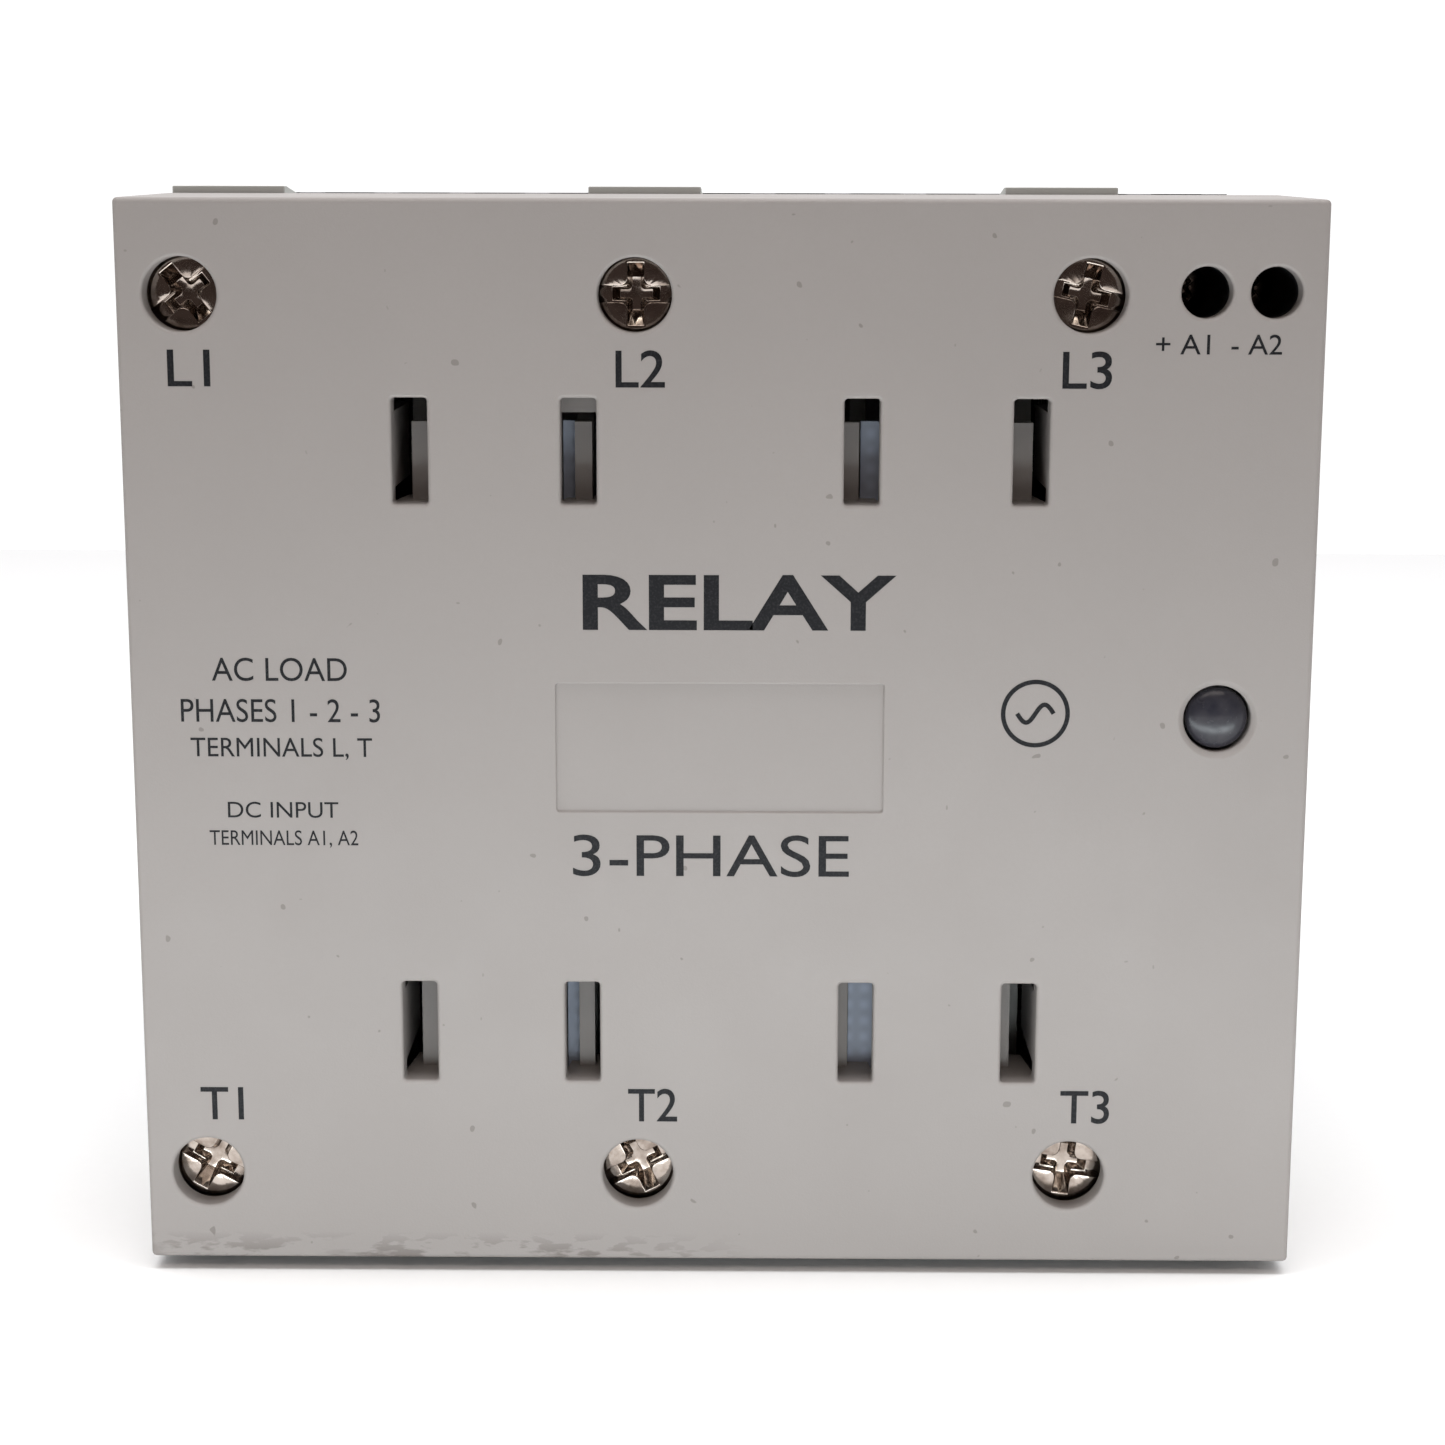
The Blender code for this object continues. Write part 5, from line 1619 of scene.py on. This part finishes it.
@dataclass
class HeatSink:
    """The aluminium extrusion, drawn by a Geometry Nodes tree: a base, a row of tapered fins and a closing web."""

    fins: int = 14
    root: float = 2.4
    tip: float = 1.5
    base_back: float = 54.0
    web_front: float = 114.5
    web_fins: tuple[int, int] = (4, 9)
    hole: float = 2.3
    blind: float = 52.2

    def build(self) -> bpy.types.Object:
        """Make the extrusion, drill it and dress it."""
        x, depth, z = spans_of("heat_sink")
        pitch = (x[1] - x[0] - self.root) / (self.fins - 1)
        row = bpy.data.objects.new("heat_sink_extrusion", bpy.data.meshes.new("heat_sink_extrusion"))
        bpy.context.scene.collection.objects.link(row)
        modifier = row.modifiers.new("fins", "NODES")
        tree, ids = self.fin_tree()
        modifier.node_group = tree
        first = x[0] + self.root / 2
        values = {
            "Fins": self.fins,
            "First": Vector((first * MM, FACE_Y + (self.base_back - 0.6) * MM, z[0] * MM)),
            "Pitch": pitch * MM,
            "Root": self.root * MM,
            "Tip": self.tip * MM,
            "Reach": (depth[1] - self.base_back + 0.6) * MM,
            "Height": (z[1] - z[0]) * MM,
            "Material": material_of(MILL_ALUMINIUM),
        }
        for label, value in values.items():
            modifier[ids[label]] = value
        fins = baked(row)
        base = Form().prism(self.base_outline(x, depth), z, Axis.UP)
        web_x = (first + self.web_fins[0] * pitch, first + self.web_fins[1] * pitch)
        web = Form().box(web_x, (self.web_front, depth[1]), z)
        sink = Carving("heat_sink_extruded", base)
        sink.work(Step.JOIN, web)
        join = sink.item.modifiers.new("fins", "BOOLEAN")
        join.operation = "UNION"
        join.solver = "EXACT"
        join.object = fins
        fins.hide_render = True
        sink.tools.append(fins)
        sink.work(Step.CUT, self.holes(depth))
        return finish_piece(sink.done(0.18, 1, 60.0, split=True), MILL_ALUMINIUM, "case", "heat_sink")

    def base_outline(self, x: Span, depth: Span) -> list[Span]:
        """Give the base's outline with fine drawn grooves along its outer sides."""
        outline: list[Span] = [(x[0], depth[0]), (x[1], depth[0])]
        count = 5
        for step in range(count):
            d = depth[0] + 1.4 + step * 1.3
            outline += [(x[1], d), (x[1] - 0.25, d + 0.25), (x[1], d + 0.5)]
        outline += [(x[1], self.base_back), (x[0], self.base_back)]
        for step in reversed(range(count)):
            d = depth[0] + 1.4 + step * 1.3
            outline += [(x[0], d + 0.5), (x[0] + 0.25, d + 0.25), (x[0], d)]
        return outline

    def holes(self, depth: Span) -> Form:
        """Give the tapped holes for the module, housing and foot screws."""
        form = Form()
        for family, count in (("module_screw", 6), ("housing_screw", 4)):
            for number in range(1, count + 1):
                middle = middle_of(f"{family}_{number}")
                form.turned(middle.x, middle.z, ((depth[0] - 1.0, self.hole), (self.blind, self.hole)), 24)
        for number in range(1, 5):
            middle = middle_of(f"foot_screw_{number}")
            form.turned(middle.x, middle.z, ((self.web_front - 1.0, self.hole), (depth[1] + 1.0, self.hole)), 24)
        return form

    def fin_tree(self) -> tuple[bpy.types.NodeTree, dict[str, str]]:
        """Build the tree that sets up the fins.

        Returns:
            The tree, and the identifier of each of its named inputs.
        """
        tree = bpy.data.node_groups.new("fin_row", "GeometryNodeTree")
        face = tree.interface
        face.new_socket("Geometry", in_out="OUTPUT", socket_type="NodeSocketGeometry")
        ids = {}
        for label, kind in (
            ("Fins", "NodeSocketInt"),
            ("First", "NodeSocketVector"),
            ("Pitch", "NodeSocketFloat"),
            ("Root", "NodeSocketFloat"),
            ("Tip", "NodeSocketFloat"),
            ("Reach", "NodeSocketFloat"),
            ("Height", "NodeSocketFloat"),
            ("Material", "NodeSocketMaterial"),
        ):
            ids[label] = face.new_socket(label, in_out="INPUT", socket_type=kind).identifier
        nodes, links = tree.nodes, tree.links
        given = nodes.new("NodeGroupInput").outputs

        outline = nodes.new("GeometryNodeCurvePrimitiveQuadrilateral")
        outline.mode = "TRAPEZOID"
        links.new(given["Root"], outline.inputs["Bottom Width"])
        links.new(given["Tip"], outline.inputs["Top Width"])
        links.new(given["Reach"], outline.inputs["Height"])
        outline.inputs["Offset"].default_value = 0.0
        half = nodes.new("ShaderNodeMath")
        half.operation = "MULTIPLY"
        half.inputs[1].default_value = 0.5
        links.new(given["Reach"], half.inputs[0])
        shift = nodes.new("ShaderNodeCombineXYZ")
        links.new(half.outputs["Value"], shift.inputs["Y"])
        stand = nodes.new("GeometryNodeTransform")
        links.new(outline.outputs["Curve"], stand.inputs["Geometry"])
        links.new(shift.outputs["Vector"], stand.inputs["Translation"])
        fillet = nodes.new("GeometryNodeFilletCurve")
        fillet.inputs["Radius"].default_value = 0.5 * MM
        if "Mode" in fillet.inputs:
            fillet.inputs["Mode"].default_value = "Poly"
        else:
            fillet.mode = "POLY"
        fillet.inputs["Count"].default_value = 3
        links.new(stand.outputs["Geometry"], fillet.inputs["Curve"])
        fill = nodes.new("GeometryNodeFillCurve")
        if "Mode" in fill.inputs:
            fill.inputs["Mode"].default_value = "N-gons"
        else:
            fill.mode = "NGONS"
        links.new(fillet.outputs["Curve"], fill.inputs["Curve"])

        rise = nodes.new("ShaderNodeCombineXYZ")
        links.new(given["Height"], rise.inputs["Z"])
        draw = nodes.new("GeometryNodeExtrudeMesh")
        draw.inputs["Offset Scale"].default_value = 1.0
        draw.inputs["Individual"].default_value = False
        links.new(fill.outputs["Mesh"], draw.inputs["Mesh"])
        links.new(rise.outputs["Vector"], draw.inputs["Offset"])
        turn = nodes.new("GeometryNodeFlipFaces")
        links.new(fill.outputs["Mesh"], turn.inputs["Mesh"])
        close = nodes.new("GeometryNodeJoinGeometry")
        links.new(draw.outputs["Mesh"], close.inputs["Geometry"])
        links.new(turn.outputs["Mesh"], close.inputs["Geometry"])
        weld = nodes.new("GeometryNodeMergeByDistance")
        weld.inputs["Distance"].default_value = 0.01 * MM
        links.new(close.outputs["Geometry"], weld.inputs["Geometry"])

        step = nodes.new("ShaderNodeCombineXYZ")
        links.new(given["Pitch"], step.inputs["X"])
        row = nodes.new("GeometryNodeMeshLine")
        links.new(given["Fins"], row.inputs["Count"])
        links.new(given["First"], row.inputs["Start Location"])
        links.new(step.outputs["Vector"], row.inputs["Offset"])
        copies = nodes.new("GeometryNodeInstanceOnPoints")
        links.new(row.outputs["Mesh"], copies.inputs["Points"])
        links.new(weld.outputs["Geometry"], copies.inputs["Instance"])
        real = nodes.new("GeometryNodeRealizeInstances")
        paint = nodes.new("GeometryNodeSetMaterial")
        links.new(copies.outputs["Instances"], real.inputs["Geometry"])
        links.new(real.outputs["Geometry"], paint.inputs["Geometry"])
        links.new(given["Material"], paint.inputs["Material"])
        links.new(paint.outputs["Geometry"], nodes.new("NodeGroupOutput").inputs["Geometry"])
        return tree, ids


# ---------------------------------------------------------------- rail foot and latch


@dataclass
class RailFoot:
    """The black foot with its seat pad, fixed hook and latch guides."""

    plate_back: float = 121.3
    seat: float = 126.0
    seat_half: float = 15.0
    rail_edge: float = 17.8
    hook_top: float = 22.0
    overhang: float = 15.7
    lip: Span = (127.3, 129.3)
    guide_x: Span = (8.5, 11.0)
    guide_lip_x: Span = (6.9, 11.0)
    guide_z: Span = (-45.0, -16.0)
    guide_front: float = 124.6
    stop: Span = (-41.4, -39.5)
    hole: float = 2.3

    def build(self) -> bpy.types.Object:
        """Make the foot and dress it."""
        x, depth, z = spans_of("rail_foot")
        outline = (
            (depth[0], z[0]),
            (self.plate_back, z[0]),
            (self.plate_back, -self.seat_half),
            (self.seat, -self.seat_half),
            (self.seat, self.seat_half),
            (self.plate_back, self.seat_half),
            (self.plate_back, self.rail_edge),
            (self.lip[0], self.rail_edge),
            (self.lip[0], self.overhang),
            (self.lip[1] - 0.6, self.overhang),
            (self.lip[1], self.overhang + 0.8),
            (self.lip[1], self.hook_top),
            (self.plate_back, self.hook_top),
            (self.plate_back, z[1]),
            (depth[0], z[1]),
        )
        foot = Carving("rail_foot_moulding", Form().prism(outline, x, Axis.ACROSS))
        foot.work(Step.JOIN, self.guides())
        foot.work(Step.JOIN, self.webs())
        cuts = Form()
        for number in range(1, 5):
            middle = middle_of(f"foot_screw_{number}")
            way = ((depth[0] - 1.0, self.hole), (self.plate_back + 0.5, self.hole))
            cuts.turned(middle.x, middle.z, way, 32)
        foot.work(Step.CUT, cuts)
        return finish_piece(foot.done(0.25, 2), FOOT_BLACK, "case", "rail_foot")

    def guides(self) -> Form:
        """Give the two rails that the latch runs in and the stop that its spring stands on."""
        form = Form()
        front = self.guide_front
        for side in (-1, 1):
            outline = (
                (side * self.guide_x[0], self.plate_back - 0.5),
                (side * self.guide_x[1], self.plate_back - 0.5),
                (side * self.guide_x[1], front + 1.1),
                (side * self.guide_lip_x[0], front + 1.1),
                (side * self.guide_lip_x[0], front),
                (side * self.guide_x[0], front),
            )
            form.prism(outline, self.guide_z, Axis.UP)
        form.box(about(0.0, 3.0), (self.plate_back - 0.5, front + 1.1), self.stop)
        return form

    def webs(self) -> Form:
        """Give the stiffening webs above the hook."""
        form = Form()
        for x in (-8.0, 0.0, 8.0):
            outline = ((self.plate_back - 0.4, 21.5), (self.plate_back - 0.4, 31.0), (127.6, 21.5))
            form.prism(outline, about(x, 0.8), Axis.ACROSS)
        return form


@dataclass
class RailLatch:
    """The sliding steel latch with its hook, and the spring in its window."""

    plate: Span = (121.8, 124.2)
    hook_half: float = 6.3
    post: Span = (-20.6, -18.1)
    lip: Span = (127.3, 129.3)
    window: Span = (-42.0, -26.0)
    window_half: float = 3.6
    eye: Span = (-48.6, -44.6)
    spring_z: Span = (-39.2, -26.3)
    spring_depth: float = 123.8
    spring_radius: float = 1.7
    wire: float = 0.3
    turns: float = 7.0

    def build(self) -> None:
        """Make the latch and its spring."""
        x, _, z = spans_of("rail_latch")
        blank = Form().box(x, self.plate, (z[0], self.post[1]))
        ends = [e for e in blank.bm.edges if abs(e.verts[0].co.y - e.verts[1].co.y) > 1.0]
        blank.rounded(1.2, 4, ends)
        latch = Carving("rail_latch_steel", blank)
        hook = (
            (self.plate[1] - 0.5, self.post[0]),
            (self.lip[1], self.post[0]),
            (self.lip[1], z[1] - 1.4),
            (self.lip[1] - 0.9, z[1]),
            (self.lip[0], z[1]),
            (self.lip[0], self.post[1]),
            (self.plate[1] - 0.5, self.post[1]),
        )
        latch.work(Step.JOIN, Form().prism(hook, about(0.0, self.hook_half), Axis.ACROSS))
        through = spread(self.plate, 1.0)
        cuts = Form()
        for span in (self.window, self.eye):
            cuts.prism(rounded_rectangle(about(0.0, self.window_half), span, 0.8), through, Axis.DEPTH)
        latch.work(Step.CUT, cuts)
        finish_piece(latch.done(0.2, 2), ZINC_STEEL, "latch", "rail_latch")
        self.spring()

    def spring(self) -> bpy.types.Object:
        """Wind the spring that stands in the latch window."""
        length = self.spring_z[1] - self.spring_z[0] - 2 * self.wire
        tree = ThreadTree("latch_coil")
        coil = tree.wind(
            "latch_spring_coil",
            SPRING_WIRE,
            Radius=self.spring_radius * MM,
            Wire=self.wire * MM,
            Length=length * MM,
            Turns=self.turns,
            Steps=40,
            Sides=12,
        )
        y = FACE_Y + self.spring_depth * MM
        coil.data.transform(Matrix.Translation((0.0, y, (self.spring_z[0] + self.wire) * MM)))
        finish_piece(coil, SPRING_WIRE, "case", "latch_spring")
        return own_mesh(coil)


# ---------------------------------------------------------------- studio


@dataclass
class Studio:
    """A pale floor, soft lights and the camera in front of the face, level with its top."""

    distance: float = 0.2536
    aside: float = 0.0023
    above: float = 0.05086
    pitch_deg: float = 10.806
    yaw_deg: float = 0.46
    roll_deg: float = 0.123
    lens: float = 68.96
    sensor: float = 36.0
    floor_gap: float = 0.0002
    floor_half: float = 1.6
    floor_front: float = 0.40
    floor_back: float = 0.55
    top_power: float = 5.0
    front_power: float = 4.8
    low_power: float = 0.10
    front_tint: Colour = (1.0, 0.90, 0.84)
    low_tint: Colour = (0.88, 0.97, 1.0)
    bright_towards: tuple[float, float, float] = (0.0, 1.0, 1.0)
    sky_fade: Span = (0.05, 0.85)
    sky_dark: Colour = (0.060, 0.045, 0.040)
    sky_bright: Colour = (1.28, 1.29, 1.31)

    def build(self) -> None:
        """Set up the camera, the paper, the lights and the sky."""
        self.camera()
        self.paper()
        self.lights()
        self.sky()
        bpy.context.scene.view_settings.view_transform = "Standard"

    def camera(self) -> None:
        """Stand the camera in front of the face."""
        data = bpy.data.cameras.new("camera")
        data.lens = self.lens
        data.sensor_width = self.sensor
        data.clip_start = 0.01
        data.clip_end = 50.0
        item = bpy.data.objects.new("camera", data)
        bpy.context.scene.collection.objects.link(item)
        bpy.context.scene.camera = item
        level = Matrix.Rotation(math.pi / 2, 4, "X")
        tip = Matrix.Rotation(-math.radians(self.pitch_deg), 4, "X")
        turn = Matrix.Rotation(math.radians(self.yaw_deg), 4, "Z")
        roll = Matrix.Rotation(math.radians(self.roll_deg), 4, "Z")
        place = Matrix.Translation((self.aside, FACE_Y - self.distance, self.above))
        item.matrix_world = place @ turn @ tip @ level @ roll

    def paper(self) -> None:
        """Lay the pale floor."""
        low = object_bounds()[0].z - self.floor_gap
        half = self.floor_half
        bm = bmesh.new()
        front, back = FACE_Y - self.floor_front, FACE_Y + self.floor_back
        corners = ((-half, front), (half, front), (half, back), (-half, back))
        bm.faces.new([bm.verts.new((x, y, low)) for x, y in corners])
        mesh = bpy.data.meshes.new("floor_paper")
        bm.to_mesh(mesh)
        bm.free()
        mesh.materials.append(material_of(FLOOR_PAPER))
        item = bpy.data.objects.new("floor_paper", mesh)
        bpy.context.scene.collection.objects.link(item)
        item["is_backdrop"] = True

    def lights(self) -> None:
        """Hang one soft light above and one in front, and stand a low one on the floor."""
        front = FACE_Y
        self.light("front_light", (0.0, front - 1.0, 1.1), (0.0, front, 0.0), (1.3, 0.5), self.front_power, self.front_tint)
        self.light("top_light", (0.0, front - 0.08, 0.75), (0.0, front - 0.08, 0.0), (0.9, 0.3), self.top_power)
        self.light("low_light", (0.0, front - 0.09, -0.044), (0.0, front, -0.03), (0.24, 0.02), self.low_power, self.low_tint)

    @staticmethod
    def light(
        name: str, place: Sequence[float], aim: Sequence[float], size: Span, power: float, tint: Colour = (1.0, 1.0, 1.0)
    ) -> None:
        """Hang one soft light.

        Args:
            name: its name.
            place: where it hangs.
            aim: the point that it faces.
            size: its width and height.
            power: its power in watts.
            tint: its colour.
        """
        data = bpy.data.lights.new(name, "AREA")
        data.color = tint
        data.shape = "RECTANGLE"
        data.size, data.size_y = size
        data.energy = power
        item = bpy.data.objects.new(name, data)
        item.location = place
        item.rotation_euler = (Vector(aim) - Vector(place)).to_track_quat("-Z", "Y").to_euler()
        bpy.context.scene.collection.objects.link(item)

    def sky(self) -> None:
        """Make the surroundings: bright overhead and behind the relay, dim and brown in front of it."""
        world = bpy.data.worlds.new("studio")
        bpy.context.scene.world = world
        world.use_nodes = True
        nodes, links = world.node_tree.nodes, world.node_tree.links
        room = nodes["Background"]
        coords = nodes.new("ShaderNodeTexCoord")
        towards = nodes.new("ShaderNodeVectorMath")
        towards.operation = "DOT_PRODUCT"
        towards.inputs[1].default_value = Vector(self.bright_towards).normalized()
        links.new(coords.outputs["Generated"], towards.inputs[0])
        fade = nodes.new("ShaderNodeMapRange")
        fade.interpolation_type = "SMOOTHSTEP"
        fade.inputs["From Min"].default_value, fade.inputs["From Max"].default_value = self.sky_fade
        links.new(towards.outputs["Value"], fade.inputs["Value"])
        tint = nodes.new("ShaderNodeMix")
        tint.data_type = "RGBA"
        tint.inputs[6].default_value = (*self.sky_dark, 1.0)
        tint.inputs[7].default_value = (*self.sky_bright, 1.0)
        links.new(fade.outputs["Result"], tint.inputs["Factor"])
        links.new(tint.outputs[2], room.inputs["Color"])
        pale = nodes.new("ShaderNodeBackground")
        pale.inputs["Color"].default_value = (1.0, 1.0, 1.0, 1.0)
        pale.inputs["Strength"].default_value = 1.1
        path = nodes.new("ShaderNodeLightPath")
        mix = nodes.new("ShaderNodeMixShader")
        links.new(path.outputs["Is Camera Ray"], mix.inputs["Fac"])
        links.new(room.outputs["Background"], mix.inputs[1])
        links.new(pale.outputs["Background"], mix.inputs[2])
        links.new(mix.outputs["Shader"], nodes["World Output"].inputs["Surface"])


LOAD_TAGS = ("l1", "l2", "l3", "t1", "t2", "t3")
CONTROL_TAGS = ("a1", "a2")

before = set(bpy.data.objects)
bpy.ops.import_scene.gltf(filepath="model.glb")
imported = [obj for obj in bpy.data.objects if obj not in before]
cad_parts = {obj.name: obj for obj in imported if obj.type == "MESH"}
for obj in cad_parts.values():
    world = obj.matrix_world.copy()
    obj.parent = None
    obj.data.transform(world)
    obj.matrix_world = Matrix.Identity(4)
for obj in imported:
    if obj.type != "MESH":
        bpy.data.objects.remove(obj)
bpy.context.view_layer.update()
FACE_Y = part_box("front_cover")[0].y


def main() -> None:
    """Build the relay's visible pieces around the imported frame, then the studio."""
    logging.basicConfig(level=logging.INFO, format="%(name)s: %(message)s")
    CaseCover().build()
    CasePrinting().build()
    RearHousing().build()
    Terminals().build()
    Indicator().build()
    PowerStage().build()
    FixingScrews().build()
    HeatSink().build()
    RailFoot().build()
    RailLatch().build()
    Studio().build()


if __name__ == "__main__":
    main()
